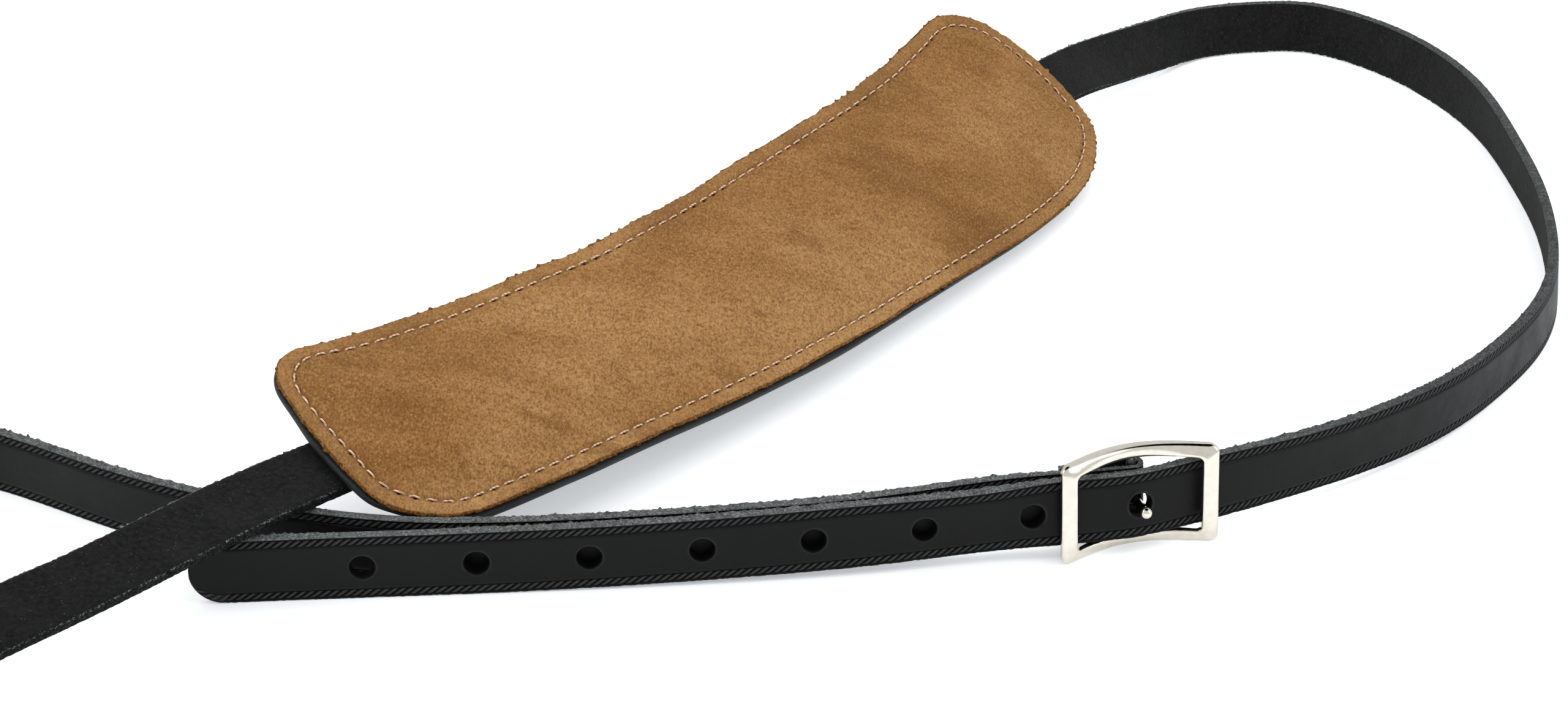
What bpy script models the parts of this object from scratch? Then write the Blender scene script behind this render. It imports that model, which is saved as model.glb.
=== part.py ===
"""Saxophone neck strap, laid out on a table.

One long leather strap stands mostly on its edge. It starts at the loose tail, runs through
the adjuster buckle, round the right loop, under the neck pad, over itself, round the left
loop with the snap hook, and back behind the tail to the buckle's centre bar, where its end
is folded round the bar. Sizes are in millimetres and become metres when a mesh is made.
"""
import math

import bmesh
import bpy
import numpy as np
from mathutils import Matrix, Vector

# ---------------------------------------------------------------- driving dimensions
ORIGIN = Vector((-76.02, 706.37, 0.0))   # layout point that becomes the part's origin
UP = np.array((0.0, 0.0, 1.0))

STRAP_WIDTH = 15.9
STRAP_THICK = 2.8
SKIVED_THICK = 1.4
STATION_STEP = 5.5
TIP_LENGTH = 7.5

HOLE_COUNT = 8
HOLE_PITCH = 25.1
HOLE_DIAMETER = 5.6

BUCKLE_LENGTH = 38.6
BUCKLE_HEIGHT = 24.0
BUCKLE_YAW = math.radians(17.3)
BUCKLE_LEAN = 6.0          # degrees that the buckle and the strap in it lean back
BUCKLE_CORNER = (62.8, 594.1)
END_BAR = 4.0
RAIL = 3.0
END_THICK = 2.2
RAIL_THICK = 3.2
RAIL_BOW = 4.8
OUTER_CORNER = 2.0
INNER_CORNER = 1.2
BAR_X = 19.5
BAR_Y = 7.5
BAR_DIAMETER = 2.8
STRAP_Z_AT_BUCKLE = 11.4
RIVET_X = 8.5

PAD_STITCH_INSET = 4.3
PAD_CORNER_DROOP = 3.2
PAD_CROWN = 3.4
BACK_BOTTOM = 3.1
BACK_THICK = 1.5
SUEDE_BOTTOM = 4.9
SUEDE_THICK = 1.2
MESH_GAP = 0.3
THREAD_RADIUS = 0.35
KEEPER_WIDTH = 18.0

EYE_CENTRE = (-296.0, 558.0, 12.9)
HOOK_DROOP = math.radians(6.5)
EYE_ROD = 1.5
BOLT_RADIUS = 2.5
BOLT_TIP = 61.6


def at_buckle(along, depth, height=STRAP_Z_AT_BUCKLE, tilt=-BUCKLE_LEAN):
    """A layout point given in the buckle's own leaning frame (along, depth)."""
    c, s = math.cos(BUCKLE_YAW), math.sin(BUCKLE_YAW)
    depth += (height - STRAP_Z_AT_BUCKLE) * math.tan(math.radians(BUCKLE_LEAN))
    x = BUCKLE_CORNER[0] + along * c - depth * s
    y = BUCKLE_CORNER[1] + along * s + depth * c
    return (x, y, height, tilt)


def buckle_axis(first, second):
    """Unit vector between two (along, depth, height) points of the buckle's frame."""
    step = np.array(at_buckle(*second)[:3]) - np.array(at_buckle(*first)[:3])
    return step / np.linalg.norm(step)


DEPTH_AXIS = buckle_axis((0, 0), (0, 1))
LEAN_AXIS = buckle_axis((0, 0, 0), (0, 0, 1))


# Centreline of the strap as (x, y, height, tilt). Tilt is 0 where the strap stands on its
# edge and 90 where it lies with the flesh side up.
ROUTE = [
    (-131.6, 578.1, 8.0, 0), (-104, 580.2, 8.0, 0), (-59, 583.2, 8.2, 0),
    (-14, 587.0, 9.2, 0), (25, 592.1, 10.3, 0), (51.9, 596.7, 11.2, 0),
    at_buckle(0.0, 4.6), at_buckle(9.5, 3.4), at_buckle(BAR_X, 2.75),
    at_buckle(28.5, 3.7), at_buckle(37.0, 5.0),
    (118.6, 622.1, 10.6, 0), (145.3, 640.9, 9.4, 0), (165.4, 660.0, 8.6, 0),
    (179.5, 678.0, 8.1, 0), (191.0, 695.6, 8.0, -2), (199.8, 714.8, 8.1, -4),
    (206.5, 742.0, 8.1, -6), (210.1, 773.0, 8.2, -8), (210.3, 808.0, 8.2, -7),
    (207.2, 848.5, 8.1, -2), (199.8, 874.2, 8.0, 3), (190.5, 892.2, 8.1, 4),
    (180.3, 904.9, 8.1, 4), (166.0, 914.6, 8.1, 5), (152.6, 915.0, 8.1, 8),
    (130.6, 908.8, 8.1, 14), (117.2, 897.1, 8.9, 24), (107.6, 886.2, 10.3, 29),
    (101.6, 878.1, 11.7, 35), (91.7, 863.1, 14.6, 45.5), (82.2, 847.5, 17.0, 55.5),
    (61.6, 814.5, 17.7, 58.9), (40.2, 782.1, 18.3, 62), (-5.1, 719.1, 19.3, 67),
    (-53.6, 658.6, 20.0, 70),
    (-105.3, 600.5, 20.5, 71), (-120.5, 584.5, 20.8, 70), (-137.1, 565.9, 20.3, 69),
    (-152.8, 551.7, 18.5, 67), (-168.3, 539.4, 16.6, 62),
    (-190, 521, 14.3, 53), (-214, 506, 12.8, 40), (-240, 500, 12.0, 28),
    (-265, 505, 11.7, 15), (-285, 520, 12.0, 6), (-295.5, 543, 12.5, 0),
    (-296, 572, 12.5, 0), (-287, 602, 10.7, 0), (-268, 626, 9.0, 0),
    (-243, 639, 8.3, 0), (-215, 639.5, 8.0, 0), (-185, 629.2, 8.0, 0),
    (-157.3, 612.7, 8.0, 0), (-131, 599.8, 8.0, 0), (-105, 591.4, 8.0, 0),
    (-86, 587.9, 8.0, 0), (-59, 587.5, 8.1, 0), (-14, 590.9, 9.0, 0),
    (25, 596.1, 10.2, 0), at_buckle(-9.8, 9.4), at_buckle(0.0, 8.3), at_buckle(9.5, 6.9),
    at_buckle(BAR_X, 5.8),
]

# The strap's centreline under the pad: left end, middle, right end.
PAD_SPINE = [np.array(p) for p in ((-105.3, 600.5, 20.5), (-5.1, 719.1, 19.3), (82.2, 847.5, 17.0))]
PAD_ROLL = (19.0, 16.0)    # degrees from flat at the left end, and what the right end adds

# Pad outline as (distance along the spine, distance across it), anticlockwise from the left.
PAD_OUTLINE = [
    (2, -16.3), (1.4, -8), (2, 1.5), (3.1, 11), (4.4, 18), (6.5, 24.5), (10.5, 28.8),
    (16, 30.6), (23, 29.6), (33, 27.9), (58, 25.2), (84, 24), (106, 23), (129, 23.2),
    (159, 24.7), (191, 26.4), (220, 27.9), (242, 29.4), (262, 32.4), (273, 34.2),
    (281, 34.6), (288, 32.4), (293.5, 27.5), (297.5, 20), (300, 9), (300.2, 0),
    (299, -9), (295.8, -17.7), (290.5, -23.4), (282, -28.3), (270, -32.2), (253, -34.9),
    (229, -36.4), (194, -36.8), (168, -37.3), (144, -37.9), (121, -37.7), (92, -36.7),
    (67, -35.4), (40.2, -34.1), (23.9, -31.6), (15, -29), (8.9, -24.5), (4.3, -20.1),
]


# ---------------------------------------------------------------- curves
def spline_rows(points, parameter, at):
    """Natural cubic spline through the rows of points, evaluated at the given parameters."""
    rows = np.array(points, float)
    gaps = np.diff(parameter)
    count = len(rows)
    system = np.eye(count)
    right = np.zeros_like(rows)
    for i in range(1, count - 1):
        system[i, i - 1:i + 2] = (gaps[i - 1], 2 * (gaps[i - 1] + gaps[i]), gaps[i])
        right[i] = 6 * ((rows[i + 1] - rows[i]) / gaps[i] - (rows[i] - rows[i - 1]) / gaps[i - 1])
    bend = np.linalg.solve(system, right)
    k = np.clip(np.searchsorted(parameter, at, side="right") - 1, 0, count - 2)
    a = ((parameter[k + 1] - at) / gaps[k])[:, None]
    b = 1 - a
    g2 = (gaps[k] ** 2)[:, None] / 6
    return a * rows[k] + b * rows[k + 1] + ((a ** 3 - a) * bend[k] + (b ** 3 - b) * bend[k + 1]) * g2


def arc_lengths(points, dims=3):
    """Distance from the first point to each point along the polyline."""
    steps = np.linalg.norm(np.diff(np.array(points)[:, :dims], axis=0), axis=1)
    return np.concatenate(([0.0], np.cumsum(steps)))


def smooth_curve(points, distances=None, step=None, dims=3):
    """Rows along a smooth curve, at the given distances or evenly about one step apart."""
    parameter = arc_lengths(points, dims)
    dense_at = np.linspace(0, parameter[-1], 40 * len(points))
    dense = spline_rows(points, parameter, dense_at)
    run = arc_lengths(dense, dims)
    if distances is None:
        distances = np.linspace(0, run[-1], max(2, round(run[-1] / step) + 1))
    return np.stack([np.interp(distances, run, dense[:, i]) for i in range(dense.shape[1])], axis=1)


def closed_curve(points, count):
    """An even closed curve of count rows through the points."""
    wrap = 4
    padded = points[-wrap:] + points + points[:wrap + 1]
    parameter = arc_lengths(padded, 2)
    dense_at = np.linspace(parameter[wrap], parameter[wrap + len(points)], 30 * len(points))
    dense = spline_rows(padded, parameter, dense_at)
    run = arc_lengths(dense, 2)
    at = np.linspace(0, run[-1], count + 1)[:-1]
    return np.stack([np.interp(at, run, dense[:, i]) for i in range(2)], axis=1)


def ribbon_frames(rows):
    """Width direction and flesh normal of each row of a route with a tilt column."""
    travel = np.gradient(rows[:, :3], axis=0)
    travel /= np.linalg.norm(travel, axis=1)[:, None]
    left = np.cross(UP, travel)
    left /= np.linalg.norm(left, axis=1)[:, None]
    rise = np.cross(travel, left)
    tilt = np.radians(rows[:, 3])[:, None]
    width = np.cos(tilt) * rise - np.sin(tilt) * left
    flesh = np.cos(tilt) * left + np.sin(tilt) * rise
    return width, flesh


# ---------------------------------------------------------------- mesh helpers
def clear_scene():
    for obj in list(bpy.data.objects):
        bpy.data.objects.remove(obj, do_unlink=True)


def material(name, colour, roughness, metallic=0.0):
    mat = bpy.data.materials.new(name)
    mat.use_nodes = True
    shader = mat.node_tree.nodes["Principled BSDF"]
    shader.inputs["Base Color"].default_value = (*colour, 1.0)
    shader.inputs["Roughness"].default_value = roughness
    shader.inputs["Metallic"].default_value = metallic
    return mat


def empty(name, at, rotation=(0.0, 0.0, 0.0)):
    """An empty at a layout point, for the pieces that move with it."""
    obj = bpy.data.objects.new(name, None)
    obj.location = (Vector(at) - ORIGIN) * 0.001
    obj.rotation_euler = rotation
    bpy.context.collection.objects.link(obj)
    bpy.context.view_layer.update()
    return obj


def link_mesh(name, bm, mat, parent=None, local=False, sharp=35.0):
    """Make an object from a mesh drawn in layout millimetres, or in its parent's frame."""
    bmesh.ops.recalc_face_normals(bm, faces=bm.faces)
    if local:
        bmesh.ops.scale(bm, vec=(0.001,) * 3, verts=bm.verts)
    else:
        to_world = Matrix.Scale(0.001, 4) @ Matrix.Translation(-ORIGIN)
        frame = parent.matrix_world.inverted() if parent else Matrix.Identity(4)
        bmesh.ops.transform(bm, matrix=frame @ to_world, verts=bm.verts)
    mesh = bpy.data.meshes.new(name)
    bm.to_mesh(mesh)
    bm.free()
    obj = bpy.data.objects.new(name, mesh)
    bpy.context.collection.objects.link(obj)
    obj.parent = parent
    if mat:
        mesh.materials.append(mat)
    if sharp:
        mesh.shade_smooth()
        mesh.set_sharp_from_angle(angle=math.radians(sharp))
    return obj


def loft(rings, closed=False):
    """A closed mesh through rings of equal count, capped at both ends or joined in a loop."""
    bm = bmesh.new()
    loops = [[bm.verts.new(p) for p in ring] for ring in rings]
    count = len(loops[0])
    pairs = list(zip(loops, loops[1:]))
    if closed:
        pairs.append((loops[-1], loops[0]))
    for first, second in pairs:
        for i in range(count):
            j = (i + 1) % count
            bm.faces.new((first[i], first[j], second[j], second[i]))
    if not closed:
        bm.faces.new(loops[0])
        bm.faces.new(loops[-1])
    return bm


def tube(points, radius, sides=10, closed=False):
    """A round rod along the points."""
    pts = np.array(points, float)
    if closed:
        travel = np.roll(pts, -1, axis=0) - np.roll(pts, 1, axis=0)
    else:
        travel = np.gradient(pts, axis=0)
    travel /= np.linalg.norm(travel, axis=1)[:, None]
    side = np.cross(travel[0], UP if abs(travel[0][2]) < 0.9 else np.array((1.0, 0, 0)))
    rings = []
    for p, t in zip(pts, travel):
        side = side - t * np.dot(side, t)
        side /= np.linalg.norm(side)
        other = np.cross(t, side)
        angles = [2 * math.pi * i / sides for i in range(sides)]
        rings.append([p + radius * (math.cos(a) * side + math.sin(a) * other) for a in angles])
    return loft(rings, closed)


def turned(profile, sides=20, at=(0, 0, 0), axis=(1, 0, 0)):
    """A solid of revolution from (distance along the axis, radius) pairs."""
    x = Vector(axis).normalized()
    y = x.orthogonal().normalized()
    z = x.cross(y)
    rings = []
    for along, radius in profile:
        centre = Vector(at) + x * along
        angles = [2 * math.pi * i / sides for i in range(sides)]
        rings.append([centre + radius * (math.cos(a) * y + math.sin(a) * z) for a in angles])
    return loft(rings)


def box(low, high):
    bm = bmesh.new()
    bmesh.ops.create_cube(bm, size=1.0)
    size = [h - l for l, h in zip(low, high)]
    bmesh.ops.scale(bm, vec=size, verts=bm.verts)
    bmesh.ops.translate(bm, vec=[(l + h) / 2 for l, h in zip(low, high)], verts=bm.verts)
    return bm


def boolean(target, tool, operation):
    """Cut or join with a hidden helper object."""
    tool.hide_render = True
    tool.display_type = "WIRE"
    mod = target.modifiers.new(tool.name, "BOOLEAN")
    mod.operation = operation
    mod.solver = "EXACT"
    mod.object = tool


# ---------------------------------------------------------------- the strap
def strap_sections():
    """Grain point, width direction, flesh normal, half width and thickness along the strap."""
    length = arc_lengths(smooth_curve(ROUTE, step=1.0))[-1]
    tip = [0.15, 0.7, 1.7, 3.0, 4.6, 6.2, TIP_LENGTH]
    count = round((length - TIP_LENGTH) / STATION_STEP)
    at = np.concatenate((tip, np.linspace(TIP_LENGTH, length, count + 1)[1:]))
    rows = smooth_curve(ROUTE, distances=at)
    width, flesh = ribbon_frames(rows)
    sections = []
    for distance, row, w, n in zip(at, rows, width, flesh):
        grain = row[:3] - n * STRAP_THICK / 2
        half = STRAP_WIDTH / 2
        if distance < TIP_LENGTH:
            half *= math.sqrt(1 - (1 - distance / TIP_LENGTH) ** 2)
        skive = min(1.0, max(0.0, (30.0 - (length - distance)) / 18.0))
        thick = STRAP_THICK + (SKIVED_THICK - STRAP_THICK) * skive
        sections.append((grain, w, n, half, thick))
    return sections + fold_sections()


def fold_sections():
    """The strap's end, folded round the centre bar and back behind the strap."""
    grain_radius = BAR_DIAMETER / 2 + MESH_GAP + SKIVED_THICK
    sections = []
    steps = 9
    for i in range(1, steps + 1):
        angle = math.pi * i / steps
        along = BAR_X + grain_radius * math.sin(angle)
        depth = BAR_Y - grain_radius * math.cos(angle)
        grain = np.array(at_buckle(along, depth)[:3])
        centre = np.array(at_buckle(BAR_X, BAR_Y)[:3])
        normal = (centre - grain) / np.linalg.norm(centre - grain)
        sections.append((grain, LEAN_AXIS, normal, STRAP_WIDTH / 2, SKIVED_THICK))
    for along in (16.0, 13.0, 9.5, 6.0, 3.0):
        grain = np.array(at_buckle(along, BAR_Y + grain_radius)[:3])
        sections.append((grain, LEAN_AXIS, -DEPTH_AXIS, STRAP_WIDTH / 2, SKIVED_THICK))
    return sections


def make_strap(leather):
    rings = []
    for grain, w, n, half, thick in strap_sections():
        rings.append([grain - w * half, grain + w * half,
                      grain + w * half + n * thick, grain - w * half + n * thick])
    strap = link_mesh("strap", loft(rings), leather)

    curve = smooth_curve(ROUTE, step=0.5)
    run = arc_lengths(curve)
    _, flesh = ribbon_frames(curve)
    stud = np.array(at_buckle(BAR_X, 2.75)[:3])
    stud_run = run[np.argmin(np.linalg.norm(curve[:, :3] - stud, axis=1))]
    for k in range(HOLE_COUNT):
        i = int(np.argmin(abs(run - (stud_run - k * HOLE_PITCH))))
        cut = [(-STRAP_THICK / 2 - 1.0, HOLE_DIAMETER / 2), (STRAP_THICK / 2 + 0.2, HOLE_DIAMETER / 2)]
        tool = link_mesh(f"cut_hole_{k}", turned(cut, 16, curve[i, :3], flesh[i]), None, sharp=None)
        boolean(strap, tool, "DIFFERENCE")

    slot = turned([(4.25, 1.6), (6.0, 1.6)], 14, at_buckle(BAR_X, 0.0)[:3], DEPTH_AXIS)
    boolean(strap, link_mesh("cut_fold_slot", slot, None, sharp=None), "DIFFERENCE")
    rivet_hole = turned([(5.2, 1.8), (12.5, 1.8)], 14, at_buckle(RIVET_X, 0.0)[:3], DEPTH_AXIS)
    boolean(strap, link_mesh("cut_rivet_hole", rivet_hole, None, sharp=None), "DIFFERENCE")


# ---------------------------------------------------------------- the buckle
def rounded_rectangle(length, height, radius, per_corner, per_side):
    """Outline points, starting at the lower right corner and going anticlockwise."""
    points = []
    corners = ((length - radius, radius, -90), (length - radius, height - radius, 0),
               (radius, height - radius, 90), (radius, radius, 180))
    for x, z, start in corners:
        for i in range(per_corner + 1):
            a = math.radians(start + 90 * i / per_corner)
            points.append((x + radius * math.cos(a), z + radius * math.sin(a)))
    result = []
    for i, first in enumerate(points):
        second = points[(i + 1) % len(points)]
        parts = per_side if i % (per_corner + 1) == per_corner else 1
        for k in range(parts):
            f = k / parts
            result.append((first[0] + (second[0] - first[0]) * f, first[1] + (second[1] - first[1]) * f))
    return result


def make_buckle(nickel, pivot):
    """The frame bows away between its end bars, so that its centre bar sits further back."""
    outer = rounded_rectangle(BUCKLE_LENGTH, BUCKLE_HEIGHT, OUTER_CORNER, 5, 12)
    inner_length = BUCKLE_LENGTH - 2 * END_BAR
    inner = rounded_rectangle(inner_length, BUCKLE_HEIGHT - 2 * RAIL, INNER_CORNER, 5, 12)
    rings = []
    for (ox, oz), (ix, iz) in zip(outer, inner):
        ix += END_BAR
        iz += RAIL
        middle = (ox + ix) / 2
        bow = math.sin(math.pi * min(1.0, max(0.0, (middle - 2.0) / (BUCKLE_LENGTH - 4.0))))
        front = RAIL_BOW * bow
        back = END_THICK + (RAIL_BOW + RAIL_THICK - END_THICK) * bow
        across = ((0.0, 0.22), (0.06, 0.06), (0.2, 0.0), (0.8, 0.0), (0.94, 0.06), (1.0, 0.22),
                  (1.0, 0.78), (0.94, 0.94), (0.8, 1.0), (0.2, 1.0), (0.06, 0.94), (0.0, 0.78))
        ring = []
        for f, g in across:
            x = ox + (ix - ox) * f
            z = oz + (iz - oz) * f
            ring.append(at_buckle(x, front + (back - front) * g, z)[:3])
        rings.append(ring)
    frame = link_mesh("buckle_frame", loft(rings, closed=True), nickel, pivot)
    foot = at_buckle(BAR_X, BAR_Y, 0.0)[:3]
    bar = turned([(RAIL - 1.0, BAR_DIAMETER / 2), (BUCKLE_HEIGHT - RAIL + 1.0, BAR_DIAMETER / 2)],
                 18, foot, LEAN_AXIS)
    boolean(frame, link_mesh("join_centre_bar", bar, None, pivot, sharp=None), "UNION")

    head = [(-3.4, 0.3), (-3.25, 0.8), (-2.85, 1.2), (-2.3, 1.4), (-1.6, 1.35), (-1.1, 1.15), (-0.8, 1.0),
            (5.8, 1.0)]
    stud = turned(head, 18, at_buckle(BAR_X, 0.0)[:3], DEPTH_AXIS)
    link_mesh("buckle_stud", stud, nickel, pivot)


def make_rivet(nickel):
    """Closes the fold: its shank lies flush in the grain and its cap is behind the strap."""
    profile = [(5.8, 1.4), (10.95, 1.4), (10.95, 3.4), (11.45, 3.3), (11.85, 2.6), (12.05, 1.2)]
    rivet = turned(profile, 18, at_buckle(RIVET_X, 0.0)[:3], DEPTH_AXIS)
    link_mesh("fold_rivet", rivet, nickel)


# ---------------------------------------------------------------- the pad
def spine_point(s):
    a, m, b = PAD_SPINE
    return a * (1 - s) * (1 - 2 * s) + m * 4 * s * (1 - s) + b * s * (2 * s - 1)


SPINE_LENGTH = arc_lengths([spine_point(i / 200) for i in range(201)])[-1]


def ease(value):
    """Smooth step from 0 to 1."""
    f = min(1.0, max(0.0, value))
    return f * f * (3 - 2 * f)


def pad_point(along, across, out):
    """A layout point from pad coordinates; out is measured from the strap's middle layer.

    The near left corner droops behind the standing strap.
    """
    out -= PAD_CORNER_DROOP * ease((46.0 - along) / 36.0) * ease((-across - 10.0) / 19.0)
    s = along / SPINE_LENGTH
    travel = spine_point(s + 0.001) - spine_point(s - 0.001)
    ahead = np.array((travel[0], travel[1], 0.0))
    ahead /= np.linalg.norm(ahead)
    near = np.cross(ahead, UP)
    roll = math.radians(PAD_ROLL[0] + PAD_ROLL[1] * s * s)
    upper = -math.cos(roll) * near + math.sin(roll) * UP
    normal = math.sin(roll) * near + math.cos(roll) * UP
    return spine_point(s) + upper * across + normal * out


def inset_ring(outline, distance):
    """The outline moved inward, toward a middle line that stops short of both ends."""
    ring = []
    for along, across in outline:
        centre_along = min(max(along, 34.0), 268.0)
        centre_across = -6.0 + 5.0 * ((centre_along - 150.0) / 150.0) ** 2
        gap = math.hypot(centre_along - along, centre_across - across)
        f = distance / gap
        ring.append((along + (centre_along - along) * f, across + (centre_across - across) * f))
    return ring


def crown(distance):
    """How far the padded middle stands above the flat rim."""
    f = min(1.0, max(0.0, (distance - PAD_STITCH_INSET - 0.5) / 19.0))
    return PAD_CROWN * math.sin(f * math.pi / 2)


def pad_layer(outline, bottom, top, crowned_bottom, crowned_top, insets):
    """A sheet or core between two heights; rings run inward on top and out again below."""
    bm = bmesh.new()

    def side(height, crowned):
        loops = []
        for distance in insets:
            rise = crown(distance) if crowned else 0.0
            ring = inset_ring(outline, distance)
            loops.append([bm.verts.new(pad_point(a, c, height + rise)) for a, c in ring])
        return loops

    upper = side(top, crowned_top)
    lower = side(bottom, crowned_bottom)
    count = len(outline)
    strips = list(zip(upper, upper[1:])) + list(zip(lower[1:], lower)) + [(lower[0], upper[0])]
    for first, second in strips:
        for i in range(count):
            j = (i + 1) % count
            bm.faces.new((first[i], first[j], second[j], second[i]))
    for cap in (upper[-1], lower[-1]):
        face = bm.faces.new(cap)
        bmesh.ops.triangulate(bm, faces=[face])
    return bm


def make_pad(suede, foam, leather, thread, pivot):
    outline = closed_curve(PAD_OUTLINE, 84)
    insets = (0.0, 3.0, 7.0, 10.5, 15.0, 20.0, 25.0)
    foam_insets = (9.0, 11.0, 15.0, 20.0, 25.0)
    flat_insets = (0.0, 7.0, 16.0, 25.0)
    back_top = BACK_BOTTOM + BACK_THICK
    layers = (
        ("pad_suede", suede, SUEDE_BOTTOM, SUEDE_BOTTOM + SUEDE_THICK, True, True, insets),
        ("pad_foam", foam, back_top + MESH_GAP, SUEDE_BOTTOM - MESH_GAP, False, True, foam_insets),
        ("pad_back", leather, BACK_BOTTOM, back_top, False, False, flat_insets),
    )
    for name, mat, bottom, top, crowned_bottom, crowned_top, rows in layers:
        bm = pad_layer(outline, bottom, top, crowned_bottom, crowned_top, rows)
        link_mesh(name, bm, mat, pivot)

    seam = inset_ring(closed_curve(PAD_OUTLINE, 110), PAD_STITCH_INSET)
    above = SUEDE_BOTTOM + SUEDE_THICK + MESH_GAP + THREAD_RADIUS
    below = BACK_BOTTOM - MESH_GAP - THREAD_RADIUS
    for name, out in (("pad_thread_top", above), ("pad_thread_bottom", below)):
        loop = [pad_point(a, c, out) for a, c in seam]
        link_mesh(name, tube(loop, THREAD_RADIUS, 6, closed=True), thread, pivot)

    for name, middle in (("keeper_left", 62.0), ("keeper_right", 243.0)):
        link_mesh(name, keeper(middle), leather, pivot)


def keeper(middle):
    """A leather bridge under the pad's back, which the strap slides through."""
    half = ((0.0, -3.6), (10.6, -3.6), (10.6, 1.3), (16.2, 1.3), (16.2, 2.8), (8.9, 2.8),
            (8.9, -2.1), (0.0, -2.1))
    profile = list(half[1:-1]) + [(-a, n) for a, n in reversed(half[1:-1])]
    rings = []
    for i in range(5):
        along = middle + KEEPER_WIDTH * (i / 4 - 0.5)
        rings.append([pad_point(along, across, out) for across, out in profile])
    return loft(rings)


# ---------------------------------------------------------------- the snap hook
def make_eye(nickel, pivot):
    """A standing rectangular loop round the strap, with the captive swivel post."""
    outline = rounded_rectangle(10.0, 21.0, 3.2, 5, 3)
    loop = [(x - 5.0, 0.0, z - 10.5) for x, z in outline]
    eye = link_mesh("swivel_eye", tube(loop, EYE_ROD, 12, closed=True), nickel, pivot, local=True)
    post = turned([(5.4, 2.0), (12.9, 2.0), (13.1, 3.1), (14.7, 3.1), (15.1, 2.6)], 18)
    tool = link_mesh("join_post", post, None, pivot, local=True, sharp=None)
    boolean(eye, tool, "UNION")


def make_hook(nickel, steel, swivel, slider):
    """Barrel with its swivel socket, bolt bore and knob slot, and the curved hook."""
    shell = [(7.4, 3.6), (8.0, 4.6), (9.0, 5.0), (16.0, 5.0), (17.2, 4.5), (45.0, 4.5), (47.0, 4.3),
             (47.8, 3.8)]
    body = link_mesh("hook_body", turned(shell, 24), nickel, swivel, local=True)
    route = [(42.0, 1.5, 0), (44.5, 4.6, 0), (49.0, 9.6, 0), (54.5, 13.2, 0), (60.8, 13.8, 0),
             (65.9, 10.6, 0), (67.4, 5.4, 0), (65.0, 0.9, 0)]
    arm = tube(smooth_curve(route, step=2.4), 2.2, 12)
    boolean(body, link_mesh("join_arm", arm, None, swivel, local=True, sharp=None), "UNION")
    socket = [(6.0, 2.35), (12.5, 2.35), (12.6, 3.5), (15.5, 3.5)]
    bore = [(20.0, 2.85), (48.5, 2.85)]
    for name, profile in (("cut_socket", socket), ("cut_bore", bore)):
        tool = link_mesh(name, turned(profile, 20), None, swivel, local=True, sharp=None)
        boolean(body, tool, "DIFFERENCE")
    slot = link_mesh("cut_slot", box((32.0, -1.35, 1.5), (43.8, 1.35, 6.0)), None, swivel,
                     local=True, sharp=None)
    boolean(body, slot, "DIFFERENCE")

    turns, per_turn = 6, 12
    coil = []
    for i in range(turns * per_turn + 1):
        a = 2 * math.pi * i / per_turn
        coil.append((20.9 + 12.8 * i / (turns * per_turn), 2.05 * math.cos(a), 2.05 * math.sin(a)))
    link_mesh("bolt_spring", tube(coil, 0.4, 6), steel, swivel, local=True)

    bolt = [(29.0, 0.9), (29.3, 1.1), (34.5, 1.1), (34.5, BOLT_RADIUS), (BOLT_TIP - 1.2, BOLT_RADIUS),
            (BOLT_TIP - 0.3, 2.0), (BOLT_TIP, 1.0)]
    link_mesh("hook_bolt", turned(bolt, 20), nickel, slider, local=True)
    knob = [(BOLT_RADIUS + MESH_GAP, 1.0), (5.6, 1.0), (6.1, 2.0), (7.2, 2.7), (8.4, 2.6), (9.4, 1.7),
            (9.8, 0.6)]
    link_mesh("bolt_knob", turned(knob, 18, (42.3, 0, 0), (0, 0, 1)), nickel, slider, local=True)


def main():
    clear_scene()
    black_leather = material("black_leather", (0.012, 0.012, 0.013), 0.5)
    tan_suede = material("tan_suede", (0.36, 0.20, 0.075), 0.95)
    grey_foam = material("grey_foam", (0.10, 0.10, 0.10), 0.9)
    cream_thread = material("cream_thread", (0.62, 0.44, 0.32), 0.8)
    nickel = material("nickel_plate", (0.80, 0.77, 0.71), 0.12, 1.0)
    spring_steel = material("spring_steel", (0.55, 0.55, 0.56), 0.3, 1.0)

    make_strap(black_leather)
    make_rivet(nickel)
    make_buckle(nickel, empty("buckle_pivot", at_buckle(BAR_X, BAR_Y, 12.0)[:3]))
    make_pad(tan_suede, grey_foam, black_leather, cream_thread, empty("pad_slide", PAD_SPINE[1]))

    facing = Matrix.Rotation(math.pi, 3, "Z") @ Matrix.Rotation(HOOK_DROOP, 3, "Y")
    turn = facing.to_euler()
    make_eye(nickel, empty("eye_pivot", EYE_CENTRE, turn))
    swivel = empty("hook_swivel", EYE_CENTRE, turn)
    slider = empty("bolt_slide", ORIGIN)
    slider.parent = swivel
    make_hook(nickel, spring_steel, swivel, slider)
    bpy.context.view_layer.update()


main()
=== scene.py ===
"""Looks for the saxophone neck strap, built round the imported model.

Shapes are worked out in layout millimetres, as in the CAD source, and become metres in the
part's frame when a mesh is made.
"""

import math

import bmesh
import bpy
import numpy as np
from mathutils import Matrix, Vector

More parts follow.
